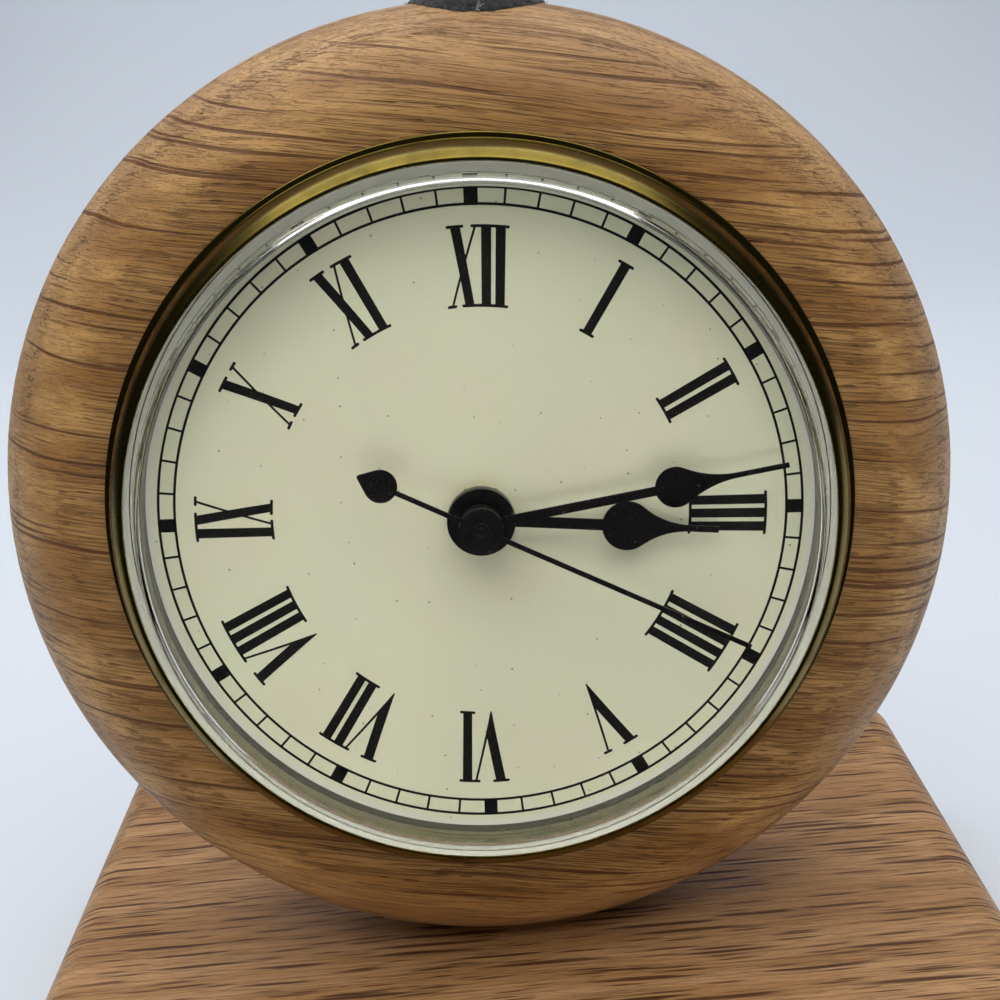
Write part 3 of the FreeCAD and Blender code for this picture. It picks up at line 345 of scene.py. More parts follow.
def dialFinish():
    f = Finish("dialCard")
    spot = f.spot()
    cloud = f.noise(spot, 70, 3)
    tone = f.mix(f.rise(cloud, 0.35, 0.7), dialLook["ivory"], dialLook["warm"])
    x, y = f.along(spot, dialRight, dialCentre), f.along(spot, dialUp, dialCentre)
    freckle = f.specks(f.place(x / 4.6, y / 4.6, 0.0), 0.5, 0.036, 0.5, flat=True)
    dust = f.specks(f.place(x / 1.6 + 9, y / 1.6, 0.0), 0.45, 0.036, 0.5, flat=True)
    bare = f.rise((x * x + y * y) ** 0.5, *dialLook["print"])  # the print stops short of the plate's edge
    grain = f.noise(spot, 2600, 3)
    tone = f.mix(f.rise(grain, 0.4, 0.8, 0.0, 0.08), tone, dialLook["grain"])
    tone = f.mix(freckle * 0.75, tone, dialLook["speck"])
    tone = f.mix(dust * 0.6, tone, dialLook["speck"])
    tone = f.mix(bare, tone, dialLook["bare"])
    return f.end(f.paint(color=tone, rough=0.52 + grain * 0.1 - bare * 0.15, normal=f.bump(grain, 0.00001, 0.3)))


def inkFinish():
    f = Finish("printedInk")
    spot = f.spot()
    x, y = f.along(spot, dialRight, dialCentre), f.along(spot, dialUp, dialCentre)
    pin = f.specks(f.place(x / 0.42, y / 0.42, 0.0), 0.22, 0.13, 0.4, flat=True)  # pin holes in the print
    film = f.noise(spot, 3000, 3)
    tone = f.mix(f.rise(film, 0.35, 0.8), rgb(5, 5, 5), rgb(20, 19, 18))
    tone = f.mix(pin * 0.55, tone, rgb(176, 172, 150))
    return f.end(f.paint(color=tone, rough=0.5 + film * 0.2, specular=0.2, normal=f.bump(film, 0.000006, 0.4)))


def feltFinish(name, tone, fluff):
    f = Finish(name)
    spot = f.spot()
    mat = f.noise(spot, 1500, 4, 0.7)
    x, y, z = (f.along(spot, axis) for axis in ((1, 0, 0), (0, 1, 0), (0, 0, 1)))
    strand = f.noise(f.place(x * 2.4, y * 2.4, z * 0.8), 1.0, 4, 0.65)
    colour = f.mix(f.rise(mat * strand, 0.16, 0.42), tone, fluff)
    return f.end(f.paint(color=colour, rough=0.9 + mat * 0.1, sheen=0.35, normal=f.bump(mat, 0.0001, 0.8)))


lensTint = {"body": (0.985, 0.99, 0.975, 1.0), "shadow": (0.94, 0.945, 0.93, 1.0), "ior": 1.49}


def lensFinish():
    f = Finish("clearAcrylic")
    spot = f.spot()
    smear = f.noise(spot, 60, 4, 0.6)
    rough = f.rise(smear, 0.5, 0.85, 0.0, 0.025)
    clear = f.paint(color=lensTint["body"], rough=rough, ior=lensTint["ior"], through=1.0)
    shadow = f.node("ShaderNodeLightPath", None, None, 1)  # lamps shine straight in
    straight = f.node("ShaderNodeBsdfTransparent", None, {"Color": lensTint["shadow"]})
    return f.end(f.node("ShaderNodeMixShader", None, {0: shadow, 1: clear, 2: straight}))


ink = inkFinish()
felt = feltFinish("charcoalFelt", rgb(18, 21, 25), rgb(54, 58, 64))
padFelt = feltFinish("padFelt", rgb(70, 52, 38), rgb(120, 98, 76))
frayed = feltFinish("frayedFelt", rgb(104, 100, 94), rgb(172, 166, 156))
lint = feltFinish("whiteLint", rgb(206, 204, 198), rgb(240, 238, 232))
finishes = {
    "oak_case": caseOak, "oak_base": slabOak, "bezel": bezelBrass, "top_knob": knobBrass,
    "knob_washer": felt, "felt_pads": padFelt, "lens": lensFinish(), "dial_plate": dialFinish(),
    "case_screws": steel, "knob_stud": steel, "dial_nut": contactMetal, "stator": steel,
    "motor_rotor": wheelNylon, "grip_band": gripRubber, "insert_cup": shellPlastic,
    "movement_plate": shellPlastic, "movement_cover": shellPlastic, "setting_knob": shellPlastic,
    "battery_hatch": shellPlastic, "drive_coil": windingFinish(), "circuit_board": boardFinish(),
    "quartz_crystal": canMetal, "button_cell": cellMetal, "cell_contacts": contactMetal,
    "hour_hand": handLacquer, "minute_hand": handLacquer, "second_hand": handLacquer,
}
for name, node in cad.items():
    for slot in node.material_slots:
        slot.material = finishes.get(name, wheelNylon)
print("stage: finishes on", len(cad), "nodes")


# repeats by Geometry Nodes
class Repeat:
    def __init__(self, name, sizes):
        self.name = name
        self.tree = bpy.data.node_groups.new(name, "GeometryNodeTree")
        self.tree.interface.new_socket("Geometry", in_out="INPUT", socket_type="NodeSocketGeometry")
        self.ids = {}
        for label, value in sizes.items():
            kind = "NodeSocketInt" if isinstance(value, int) else "NodeSocketFloat"
            self.ids[label] = self.tree.interface.new_socket(label, in_out="INPUT", socket_type=kind).identifier
        self.tree.interface.new_socket("Geometry", in_out="OUTPUT", socket_type="NodeSocketGeometry")
        self.given = self.tree.nodes.new("NodeGroupInput")
        self.sizes = sizes

    def size(self, label):
        return self.given.outputs[label]

    def node(self, kind, settings=None, sockets=None, out=0):
        made = self.tree.nodes.new(kind)
        for key, value in (settings or {}).items():
            setattr(made, key, value)
        for key, value in (sockets or {}).items():
            if isinstance(value, bpy.types.NodeSocket):
                self.tree.links.new(value, made.inputs[key])
            else:
                made.inputs[key].default_value = value
        return made.outputs[out]

    def join(self, *parts):
        made = self.tree.nodes.new("GeometryNodeJoinGeometry")
        for part in parts:
            self.tree.links.new(part, made.inputs[0])
        return made.outputs[0]

    def finish(self, shape, material, place):
        real = self.node("GeometryNodeRealizeInstances", None, {0: shape})
        done = self.node("GeometryNodeSetMaterial", None, {"Geometry": real, "Material": material})
        last = self.tree.nodes.new("NodeGroupOutput")
        self.tree.links.new(done, last.inputs[0])
        piece = bpy.data.objects.new(self.name, bpy.data.meshes.new(self.name))
        scene.collection.objects.link(piece)
        modifier = piece.modifiers.new(self.name, "NODES")
        modifier.node_group = self.tree
        for label, value in self.sizes.items():
            modifier[self.ids[label]] = value
        graph = bpy.context.evaluated_depsgraph_get()
        mesh = bpy.data.meshes.new_from_object(piece.evaluated_get(graph))
        piece.modifiers.remove(modifier)
        piece.data = mesh
        mesh.transform(place)
        if not mesh.materials:
            mesh.materials.append(material)
        return piece


printLevel = {"track": -0.70 * mm, "numerals": -0.71 * mm}  # on the dial's face

# the railway track round the dial
track = {
    "outer ring": 36.67 * mm, "inner ring": 34.85 * mm, "ring line": 0.30 * mm, "ink": 0.03 * mm,
    "minutes": 60, "hours": 12, "tick": 0.27 * mm, "block": 1.56 * mm,
}


def trackPiece():
    r = Repeat("minuteTrack", track)
    profile = r.node("GeometryNodeCurvePrimitiveQuadrilateral", None,
                     {0: r.size("ring line"), 1: r.size("ink")})
    rings = []
    for label in ("outer ring", "inner ring"):
        hoop = r.node("GeometryNodeCurvePrimitiveCircle", None, {"Resolution": 240, "Radius": r.size(label)})
        rings.append(r.node("GeometryNodeCurveToMesh", None, {0: hoop, 1: profile}))

    def sums(operation, first, second):
        return r.node("ShaderNodeMath", {"operation": operation}, {0: first, 1: second})

    middle = sums("MULTIPLY", sums("ADD", r.size("outer ring"), r.size("inner ring")), 0.5)
    tall = sums("SUBTRACT", r.size("outer ring"), r.size("inner ring"))
    marks = []
    for count, wide in (("minutes", "tick"), ("hours", "block")):
        row = r.node("GeometryNodeMeshCircle", None, {"Vertices": r.size(count), "Radius": middle})
        box = r.node("ShaderNodeCombineXYZ", None, {0: tall, 1: r.size(wide), 2: r.size("ink")})
        mark = r.node("GeometryNodeMeshCube", None, {"Size": box})
        order = r.node("GeometryNodeInputIndex")
        step = sums("DIVIDE", math.tau, r.size(count))
        turned = r.node("ShaderNodeCombineXYZ", None, {2: sums("MULTIPLY", order, step)})
        marks.append(r.node("GeometryNodeInstanceOnPoints", None, {
            "Points": row, "Instance": mark, "Rotation": turned}))
    return r.finish(r.join(*rings, *marks), ink, dialFrame @ Matrix.Translation((0, 0, printLevel["track"])))


minuteTrack = trackPiece()
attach(minuteTrack, "insert")


def settled(bm):  # the same faces in one fixed order, because bevels give another order each run
    order = sorted(bm.verts, key=lambda vert: [round(part, 8) for part in vert.co])
    places = {vert: place for place, vert in enumerate(order)}
    rings = []
    for face in bm.faces:
        ring = [places[vert] for vert in face.verts]
        first = ring.index(min(ring))
        rings.append(ring[first:] + ring[:first])
    fresh = bmesh.new()
    made = [fresh.verts.new(vert.co) for vert in order]
    for ring in sorted(rings):
        fresh.faces.new([made[place] for place in ring])
    fresh.normal_update()  # a hand's hollow outline needs it to be cut into triangles
    bm.free()
    return fresh


# Roman numerals, tops outward, drawn as strokes on arcs, in millimetres
numerals = {
    "foot": 23.7, "tall": 8.95, "turn": 1.17, "taper": 0.93, "bar": 1.12, "gap": 0.49, "gapBeforeX": 0.41,
    "gapAfterV": 0.3, "gapAfterX": 0.45, "serif": 0.33, "reach": 0.42, "ease": 0.08, "ink": 0.03, "step": 0.35,
    "words": ["XII", "I", "II", "III", "IIII", "V", "VI", "VII", "VIII", "IX", "X", "XI"],
}
letterV = {"wide": 3.76, "foot": (1.60, 1.74), "thick": (0.0, 1.16), "thin": (3.5, 3.76), "fork": (2.2, 0.378)}
letterX = {"wide": 3.0, "thick": ((1.57, 2.64), (0.0, 1.1)), "thin": ((-0.15, 0.13), (2.72, 3.0))}


def strokesOf(word):  # outlines, x to the right, y from the foot to the top
    tall, thin, ease = numerals["tall"], numerals["serif"], numerals["ease"]
    shapes, x = [], 0.0

    def serif(span, top):
        left, right = x + span[0] - numerals["reach"], x + span[1] + numerals["reach"]
        low = tall - thin if top else 0.0
        shapes.append([(left + ease, low), (right - ease, low), (right, low + thin * 0.3), (right, low + thin * 0.7),
                       (right - ease, low + thin), (left + ease, low + thin), (left, low + thin * 0.7),
                       (left, low + thin * 0.3)])

    def strokes(*pairs):  # each a span at the foot and a span at the top
        for foot, top in pairs:
            shapes.append([(x + foot[0], 0), (x + foot[1], 0), (x + top[1], tall), (x + top[0], tall)])
        for foot, top in pairs:
            serif(top, True)
        for foot, top in pairs:
            serif(foot, False)

    for place, letter in enumerate(word):
        after = word[place + 1:place + 2]
        if letter == "I":
            wide, gap = numerals["bar"], numerals["gapBeforeX" if after == "X" else "gap"]
            strokes(((0.0, wide), (0.0, wide)))
        elif letter == "V":
            wide, gap = letterV["wide"], numerals["gapAfterV"]
            foot, thick, slim, fork = (letterV[part] for part in ("foot", "thick", "thin", "fork"))
            shapes.append([(x + foot[0], 0), (x + foot[1], 0), (x + slim[1], tall), (x + slim[0], tall),
                           (x + fork[0], fork[1] * tall), (x + thick[1], tall), (x + thick[0], tall)])
            serif(thick, True)
            serif(slim, True)
        else:
            wide, gap = letterX["wide"], numerals["gapAfterX"]
            strokes(letterX["thick"], letterX["thin"])
        width = x + wide
        x = width + gap
    return shapes, width


def numeralPiece():
    points, faces = [], []
    for hour, word in enumerate(numerals["words"]):
        shapes, width = strokesOf(word)
        heading = math.radians(hour * 30 + numerals["turn"])
        for shape in shapes:
            ring = []
            for here, after in zip(shape, shape[1:] + shape[:1]):
                steps = max(1, int(math.dist(here, after) / numerals["step"]))
                for step in range(steps):
                    part = step / steps
                    x = here[0] + (after[0] - here[0]) * part - width / 2
                    y = here[1] + (after[1] - here[1]) * part
                    radius = numerals["foot"] + y
                    taper = numerals["taper"] + (1 - numerals["taper"]) * y / numerals["tall"]
                    angle = heading + x * taper / radius
                    ring.append(len(points))
                    points.append(Vector((radius * math.sin(angle), radius * math.cos(angle))))
            faces.append(ring)
    verts, _, tris, _, _, sources = geometry.delaunay_2d_cdt(points, [], faces, 1, 1e-5)
    tris = [tri for tri, source in zip(tris, sources) if source]  # the gaps between strokes stay open
    bm = bmesh.new()
    made = [bm.verts.new((p.x * mm, p.y * mm, 0)) for p in verts]
    for tri in tris:
        bm.faces.new([made[i] for i in tri])
    bmesh.ops.recalc_face_normals(bm, faces=bm.faces)
    if sum(face.normal.z for face in bm.faces) < 0:
        bmesh.ops.reverse_faces(bm, faces=bm.faces)
    film = bmesh.ops.extrude_face_region(bm, geom=bm.faces[:])
    for item in film["geom"]:
        if isinstance(item, bmesh.types.BMVert):
            item.co.z += numerals["ink"] * mm
    loose = [v for v in bm.verts if not v.link_faces]
    bmesh.ops.delete(bm, geom=loose, context="VERTS")
    bmesh.ops.recalc_face_normals(bm, faces=bm.faces)
    bm = settled(bm)
    mesh = bpy.data.meshes.new("dialNumerals")
    bm.to_mesh(mesh)
    bm.free()
    mesh.materials.append(ink)
    mesh.transform(dialFrame @ Matrix.Translation((0, 0, printLevel["numerals"])))
    piece = bpy.data.objects.new("dialNumerals", mesh)
    scene.collection.objects.link(piece)
    return piece


dialNumerals = numeralPiece()
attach(dialNumerals, "insert")
print("stage: dial printed,", len(dialNumerals.data.polygons), "faces of numerals")


# turned pieces: a closed outline of radius and height, spun round an axis
def turnedPiece(name, outline, place, material, count=192, sharp=35):
    bm = bmesh.new()
    rings = []
    for radius, height in outline:
        if radius < 1e-6:
            rings.append([bm.verts.new((0, 0, height * mm))])
        else:
            rings.append([bm.verts.new((radius * mm * math.cos(math.tau * i / count),
                                        radius * mm * math.sin(math.tau * i / count), height * mm))
                          for i in range(count)])
    pairs = list(zip(rings, rings[1:]))
    if len(rings[0]) > 1:
        pairs.append((rings[-1], rings[0]))
    for low, high in pairs:
        for i in range(count):
            after = (i + 1) % count
            corners = ([low[0], high[i], high[after]] if len(low) == 1 else
                       [low[i], high[0], low[after]] if len(high) == 1 else
                       [low[i], high[i], high[after], low[after]])
            bm.faces.new(corners)
    bmesh.ops.recalc_face_normals(bm, faces=bm.faces)
    return newPiece(name, bm, place, material, sharp)


def newPiece(name, bm, place, material, sharp=35):
    mesh = bpy.data.meshes.new(name)
    bm.to_mesh(mesh)
    bm.free()
    mesh.transform(place)
    mesh.materials.append(material)
    mesh.shade_smooth()
    mesh.set_sharp_from_angle(angle=math.radians(sharp))
    piece = bpy.data.objects.new(name, mesh)
    scene.collection.objects.link(piece)
    return piece


def curve(start, pull, end, steps):
    parts = [step / steps for step in range(steps + 1)]
    return [tuple(start * (1 - part) ** 2 + pull * 2 * part * (1 - part) + end * part ** 2) for part in parts]


def rounded(before, corner, after, radius, steps=8):  # an arc's points in place of a corner
    before, corner, after = Vector(before), Vector(corner), Vector(after)
    first, second = (before - corner).normalized(), (after - corner).normalized()
    reach = radius / math.tan(first.angle(second) / 2)
    return curve(corner + first * reach, corner, corner + second * reach, steps)


def dome(top, edge, steps):  # shallow arc from the axis to the edge
    radius, fall = edge[0], top - edge[1]
    bow = (radius ** 2 + fall ** 2) / (2 * fall)
    reaches = [radius * step / steps for step in range(steps + 1)]
    return [(reach, top - bow + math.sqrt(bow ** 2 - reach ** 2)) for reach in reaches]


lensLook = {"outer": 39.35, "rim": 38.2, "bore": 38.15, "shoulder": 37.72, "round": 0.8, "wall": 1.1, "lip": 5.5,
            "crown": 9.0, "shoulderLevel": 7.6, "foot": -0.7, "outerStep": 2.4, "boreStep": 2.0,
            "rimEase": 0.12, "edgeEase": 0.15}


def lensPiece():
    k = lensLook
    lip, wall, bore = k["lip"], k["wall"], k["bore"]
    top = dome(k["crown"], (k["shoulder"], k["shoulderLevel"]), 40)
    inner = (k["shoulder"] - wall / 2, k["shoulderLevel"] - wall)
    under = dome(k["crown"] - wall, inner, 40)
    outline = top[:-2] + rounded(top[-2], top[-1], (k["rim"], lip), k["round"])
    outline += rounded(top[-1], (k["rim"], lip), (k["outer"], lip), k["rimEase"], 4)
    outline += rounded((k["rim"], lip), (k["outer"], lip), (k["outer"], k["foot"]), k["edgeEase"], 4)
    outline += [(k["outer"], k["outerStep"]), (k["outer"], k["foot"]), (bore, k["foot"]), (bore, k["boreStep"]),
                (bore, lip - wall)]
    outline += rounded((bore, lip - wall), inner, under[-2], k["round"]) + under[:-2][::-1]
    return turnedPiece("lensGlass", outline, dialFrame, finishes["lens"], 256, 40)


lensGlass = lensPiece()
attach(lensGlass, "insert")
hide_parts("lens")


# the brass ring, spun smooth, with a soft swell from the flange up to the lip
ringLook = {"bore": 39.4, "lip": (39.68, 5.5), "swell": (41.35, 4.75), "foot": (41.74, 1.0), "land": 0.8,
            "step": 0.06, "edge": 42.5, "ease": 0.22, "lipEase": 0.08, "footEase": 0.1, "seat": 0.02,
            "skirt": 39.6, "skirtBore": 38.9, "depth": -6.0, "ledge": -1.2}


def bezelPiece():
    k = ringLook
    lip, swell, foot = (Vector(k[word]) for word in ("lip", "swell", "foot"))
    outline = rounded((k["bore"], 0.0), (k["bore"], lip.y), lip, k["lipEase"], 4)
    outline += curve(lip, swell, foot, 24)
    outline += rounded(foot, (foot.x + k["step"], k["land"]), (k["edge"], k["land"]), k["footEase"], 5)
    outline += rounded((foot.x, k["land"]), (k["edge"], k["land"]), (k["edge"], 0.0), k["ease"], 8)
    outline += [(k["edge"], k["seat"]), (k["skirt"], k["seat"]), (k["skirt"], k["depth"]),
                (k["skirtBore"], k["depth"]), (k["skirtBore"], k["ledge"]), (k["bore"], k["ledge"])]
    return turnedPiece("bezelRing", outline, dialFrame, bezelBrass, 320, 40)


bezelRing = bezelPiece()
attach(bezelRing, "insert")
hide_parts("bezel")


# stamped hands: the frame's plates with their edges eased
hands = [("hour_hand", "hourHand", "hours", 0.09), ("minute_hand", "minuteHand", "minutes", 0.08),
         ("second_hand", "secondHand", "seconds", 0.08)]


def easedCopy(node, name, ease, material):
    bm = bmesh.new()
    bm.from_mesh(cad[node].data)
    bmesh.ops.remove_doubles(bm, verts=bm.verts, dist=2e-6)
    bmesh.ops.dissolve_limit(bm, angle_limit=math.radians(0.5), verts=bm.verts, edges=bm.edges)
    edges = [e for e in bm.edges if len(e.link_faces) == 2 and e.calc_face_angle() > math.radians(40)]
    bmesh.ops.bevel(bm, geom=edges, offset=ease * mm, segments=3, profile=0.5, affect="EDGES", clamp_overlap=True)
    bm = settled(bm)
    bmesh.ops.triangulate(bm, faces=bm.faces)
    return newPiece(name, bm, Matrix.Identity(4), material, 45)


for node, name, body, ease in hands:
    hand = easedCopy(node, name, ease, handLacquer)
    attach(hand, body)
    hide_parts(node)

# the moulded pip and ring on the second hand's cap
capLook = {"foot": 6.44, "land": 6.47, "pip": 0.40, "pipRise": 0.15, "ring": 0.71, "half": 0.15, "ringRise": 0.13}


def capPiece():
    k = capLook
    quarter = [math.radians(15 * step) for step in range(7)]
    outline = [(k["pip"] * math.sin(turn), k["land"] + k["pipRise"] * math.cos(turn)) for turn in quarter]
    outline += [(k["ring"] - k["half"] * math.cos(2 * turn), k["land"] + k["ringRise"] * math.sin(2 * turn))
                for turn in quarter]
    outline += [(k["ring"] + k["half"], k["foot"]), (0.0, k["foot"])]
    return turnedPiece("capMark", outline, dialFrame, handLacquer, 64)


capMark = capPiece()
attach(capMark, "seconds")
print("stage: lens, bezel and hands dressed")


# the felt washer over the rim and the pads under the slab, each with loose fibres
washerLook = {"edge": 8.02, "shoulder": (7.5, 0.78), "top": 6.3, "bore": 1.6, "hub": 43.0, "rim": 14.5, "flat": 0.5,
              "middle": 15.0, "lift": 0.02, "thick": 0.88, "loose": 6.9, "torn": 0.9, "fray": 0.22, "lump": 0.16,
              "steps": 260}
padLook = {"radius": 6.95, "ease": 0.3, "inset": 7.0, "skin": 0.2, "ragged": 0.08}
fibreBend = {"Start": (0, 0, -0.05), "Start Handle": (0, 0.05, 0.35), "End Handle": (0.25, 0.1, 0.6),
             "End": (0.5, 0.0, 0.8)}  # of a fibre one unit long
fibreLean = (0.9, 0.9, 3.1)


def washerPiece():
    k = washerLook

    def height(x, y, lift):  # of the rim's skin over the disc's axis
        side = max(abs(y) - k["flat"], 0.0)
        return math.sqrt((k["hub"] + math.sqrt((k["rim"] + lift) ** 2 - side ** 2)) ** 2 - x ** 2)

    edge, shoulder, top = Vector((k["edge"], k["lift"])), Vector(k["shoulder"]), Vector((k["top"], k["thick"]))
    outline = [(k["bore"] + (edge.x - k["bore"]) * step / 8, edge.y) for step in range(8)]
    outline += curve(edge, shoulder, top, 12)
    outline += [(top.x + (k["bore"] - top.x) * step / 3, top.y) for step in (1, 2, 3)]
    bm = bmesh.new()
    count = k["steps"]
    rings = []
    for radius, lift in outline:
        ring = []
        loose = max(0.0, min(1.0, (radius - k["loose"]) / k["torn"]))
        for step in range(count):
            angle = math.tau * step / count
            away = Vector((math.cos(angle), math.sin(angle), lift * 0.35))
            torn = noise.noise(away * 7) + 0.6 * noise.noise(away * 21) + 0.4 * noise.noise(away * 46)
            reach = radius + k["fray"] * torn * loose
            raised = max(k["lift"], lift * (1 + k["lump"] * noise.noise(away * 13 + Vector((5, 0, 0))) * loose))
            x, y = reach * math.cos(angle), reach * math.sin(angle)
            ring.append(bm.verts.new((x * mm, y * mm, height(x, y, min(raised, k["thick"])) * mm)))
        rings.append(ring)
    for low, high in zip(rings, rings[1:] + rings[:1]):
        for step in range(count):
            after = (step + 1) % count
            bm.faces.new((low[step], low[after], high[after], high[step]))
    bmesh.ops.recalc_face_normals(bm, faces=bm.faces)
    return newPiece("feltWasher", bm, Matrix.Identity(4), felt, 60)


def padsPiece():
    k = padLook
    low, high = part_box("felt_pads")
    inset, radius, skin = k["inset"] * mm, k["radius"] * mm, k["skin"] * mm
    bm = bmesh.new()
    for x in (low.x + inset, high.x - inset):
        for y in (low.y + inset, high.y - inset):
            middle = Matrix.Translation((x, y, (low.z + high.z) / 2))
            bmesh.ops.create_cone(bm, cap_ends=True, segments=96, radius1=radius, radius2=radius,
                                  depth=high.z - low.z, matrix=middle)
    edges = [edge for edge in bm.edges if edge.calc_face_angle() > 1.2]
    bmesh.ops.bevel(bm, geom=edges, offset=k["ease"] * mm, segments=4, profile=0.5, affect="EDGES")
    for vert in bm.verts:  # the cut edge of felt is never quite true
        if low.z + skin < vert.co.z < high.z - skin:
            vert.co += k["ragged"] * mm * noise.noise_vector(vert.co * 1500) * Vector((1, 1, 0))
    return newPiece("feltPads", settled(bm), Matrix.Identity(4), padFelt, 60)


def fuzzPiece(name, body, material, sizes, chosen, place):
    r = Repeat(name, sizes)
    source = r.node("GeometryNodeObjectInfo", {"transform_space": "ORIGINAL"}, {"Object": body}, "Geometry")
    points = r.node("GeometryNodeDistributePointsOnFaces", None, {
        "Mesh": source, "Selection": chosen(r), "Density": r.size("density"), "Seed": r.size("seed")})
    bend = r.node("GeometryNodeCurvePrimitiveBezierSegment", None, dict(fibreBend, Resolution=5))
    profile = r.node("GeometryNodeCurvePrimitiveCircle", None, {"Resolution": 3, "Radius": r.size("slimness")})
    fibre = r.node("GeometryNodeCurveToMesh", None, {0: bend, 1: profile})
    lean = r.node("FunctionNodeRandomValue", {"data_type": "FLOAT_VECTOR"}, {
        0: [-most for most in fibreLean], 1: fibreLean, "Seed": r.size("seed")})
    turned = r.node("FunctionNodeRotateRotation", {"rotation_space": "LOCAL"}, {
        0: points.node.outputs["Rotation"], 1: lean})
    length = r.node("FunctionNodeRandomValue", {"data_type": "FLOAT"}, {
        2: r.size("shortest"), 3: r.size("longest"), "Seed": r.size("seed")}, 1)
    strewn = r.node("GeometryNodeInstanceOnPoints", None, {
        "Points": points, "Instance": fibre, "Rotation": turned, "Scale": length})
    return r.finish(strewn, material, place)


def where(operation, kind, axes, limit, centre=(0, 0, 0)):  # picks faces by their place or their normal
    def chosen(r):
        away = r.node("ShaderNodeVectorMath", {"operation": "SUBTRACT"}, {0: r.node(kind), 1: centre})
        parts = r.node("ShaderNodeVectorMath", {"operation": "MULTIPLY"}, {0: away, 1: axes})
        reach = r.node("ShaderNodeVectorMath", {"operation": "LENGTH"}, {0: parts}, 1)
        return r.node("FunctionNodeCompare", {"data_type": "FLOAT", "operation": operation}, {0: reach, 1: limit})
    return chosen


feltWasher = washerPiece()
front = max(vert.co.dot(outward) for vert in cad["oak_case"].data.vertices)
middle = dialCentre + outward * (front - dialCentre.dot(outward) - washerLook["middle"] * mm)
knobFrame = frameOf(knobUp.cross(outward), -outward, knobUp, middle)
washerFuzz = fuzzPiece("washerFuzz", feltWasher, frayed, {
    "density": 6.0e6, "slimness": 0.04, "shortest": 0.25 * mm, "longest": 0.62 * mm, "seed": 4},
    where("GREATER_THAN", "GeometryNodeInputPosition", (1, 1, 0), 7.84 * mm), knobFrame)
washerLint = fuzzPiece("washerLint", feltWasher, lint, {
    "density": 3.2e7, "slimness": 0.04, "shortest": 0.3 * mm, "longest": 0.8 * mm, "seed": 6},
    where("LESS_THAN", "GeometryNodeInputPosition", (1, 1, 0), 0.3 * mm, (0.1 * mm, -7.75 * mm, 0)), knobFrame)
feltWasher.data.transform(knobFrame)
feltPads = padsPiece()
padFuzz = fuzzPiece("padFuzz", feltPads, padFelt, {
    "density": 3.0e6, "slimness": 0.03, "shortest": 0.15 * mm, "longest": 0.45 * mm, "seed": 9},
    where("LESS_THAN", "GeometryNodeInputNormal", (0, 0, 1), 0.4), Matrix.Identity(4))
for part in (feltWasher, washerFuzz, washerLint, feltPads, padFuzz):
    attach(part, "case")
for piece, node in ((feltWasher, "knob_washer"), (feltPads, "felt_pads")):
    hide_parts(node)
print("stage: felt laid,", len(washerFuzz.data.polygons), "and", len(padFuzz.data.polygons), "faces of fibre")


# floor, lights and camera
studio = {"floor": rgb(224, 231, 241), "sky": rgb(214, 222, 234), "skyPower": 0.03, "reach": 1.8, "front": -1.2,
          "split": -0.06, "back": 0.5, "bend": 0.35, "top": 1.6}


def floorFinish():
    f = Finish("paperSweep")
    spot = f.spot()
    tooth = f.noise(spot, 900, 3)
    cloud = f.noise(spot, 2.5, 2)
    tone = f.mix(f.rise(cloud, 0.3, 0.7, 0.0, 0.5), studio["floor"], rgb(218, 226, 238))
    return f.end(f.paint(color=tone, rough=0.75 + tooth * 0.2, normal=f.bump(tooth, 0.00002, 0.3)))


def sweepPiece(name, line):
    bm = bmesh.new()
    rows = [[bm.verts.new((x, y, z)) for y, z in line] for x in (-studio["reach"], studio["reach"])]
    for i in range(len(line) - 1):
        bm.faces.new((rows[0][i], rows[1][i], rows[1][i + 1], rows[0][i + 1]))
    piece = newPiece(name, bm, Matrix.Identity(4), paper)
    return piece


paper = floorFinish()
back, bend, split = studio["back"], studio["bend"], studio["split"]
curved = [(back + bend * math.sin(turn), bend - bend * math.cos(turn)) for turn in map(math.radians, range(0, 91, 6))]
sweepPiece("sweep", [(split, 0.0)] + curved + [(back + bend, studio["top"])])
apron = sweepPiece("apron", [(studio["front"], 0.0), (split, 0.0)])
apron.visible_glossy = apron.visible_transmission = False  # the photographer's dark side, to the lens and the brass


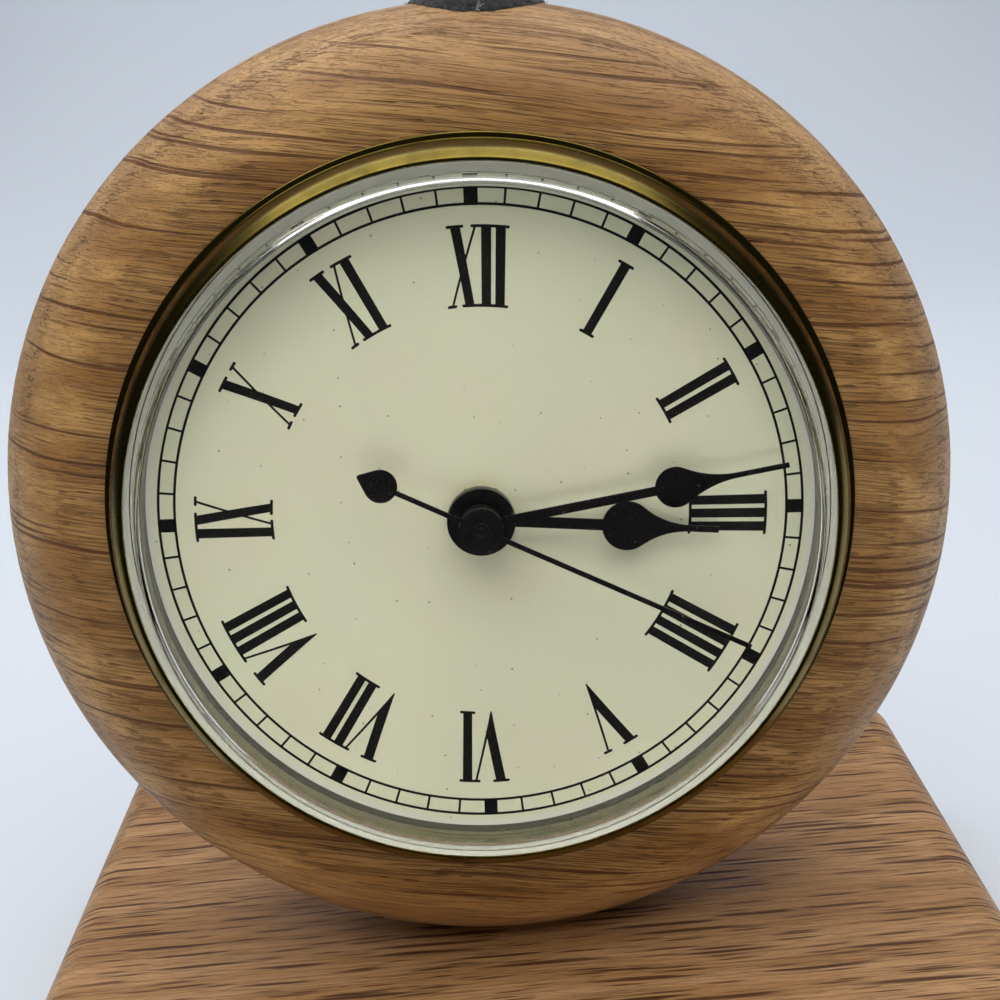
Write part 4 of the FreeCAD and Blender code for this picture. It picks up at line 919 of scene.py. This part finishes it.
def lamp(name, spot, aim, size, power, tone, fill=False, spread=180):
    light = bpy.data.lights.new(name, "AREA")
    light.shape, light.size, light.size_y = "RECTANGLE", size[0], size[1]
    light.energy, light.color, light.spread = power, tone, math.radians(spread)
    piece = bpy.data.objects.new(name, light)
    piece.location = spot
    piece.rotation_euler = (Vector(aim) - Vector(spot)).to_track_quat("-Z", "Y").to_euler()
    piece.visible_camera = False
    if fill:  # leaves no streak in the brass and no veil on the lens
        piece.visible_glossy = False
        light.cycles.use_multiple_importance_sampling = False
    scene.collection.objects.link(piece)


warm, cool = (1.0, 0.98, 0.95), (0.97, 0.985, 1.0)
lamp("topPanel", (0.0, 0.02, 0.66), (0.0, 0.02, 0.0), (0.9, 0.75), 3.9, (1.0, 0.99, 0.97))
lamp("frontTop", (0.0, -0.44, 0.68), (0.0, 0.0, 0.08), (0.9, 0.28), 1.6, warm)
lamp("backWash", (0.0, 0.30, 0.70), (0.0, 0.85, 0.25), (1.2, 0.25), 1.6, (0.96, 0.98, 1.0))
lamp("leftWall", (-0.55, 0.34, 0.32), (0.0, 0.0, 0.10), (0.6, 0.45), 1.0, cool, fill=True)
lamp("rightWall", (0.55, 0.34, 0.32), (0.0, 0.0, 0.10), (0.6, 0.45), 0.45, cool, fill=True)
lamp("lowFill", (0.0, -0.30, 0.06), (0.0, 0.0, 0.045), (0.24, 0.05), 0.018, warm, fill=True, spread=70)

world = bpy.data.worlds.new("studio")
scene.world = world
world.use_nodes = True
world.node_tree.nodes["Background"].inputs[0].default_value = studio["sky"]
world.node_tree.nodes["Background"].inputs[1].default_value = studio["skyPower"]
scene.view_settings.view_transform = "Standard"
scene.view_settings.look = "None"

# camera fitted to the photo
shot = bpy.data.cameras.new("shot")
shot.sensor_width, shot.lens, shot.clip_start = 36.0, 51.0, 0.005
right, up = Vector((0.9961, -0.0224, -0.0854)), Vector((0.088, 0.3197, 0.9434))
ahead = Vector((-0.0061, 0.9472, -0.3205))
stand = Vector((3.28, -162.80, 130.86)) * mm
shotPiece = bpy.data.objects.new("shot", shot)
shotPiece.matrix_world = frameOf(right, up, -ahead, stand)
scene.collection.objects.link(shotPiece)
scene.camera = shotPiece
print("stage: studio and camera set")
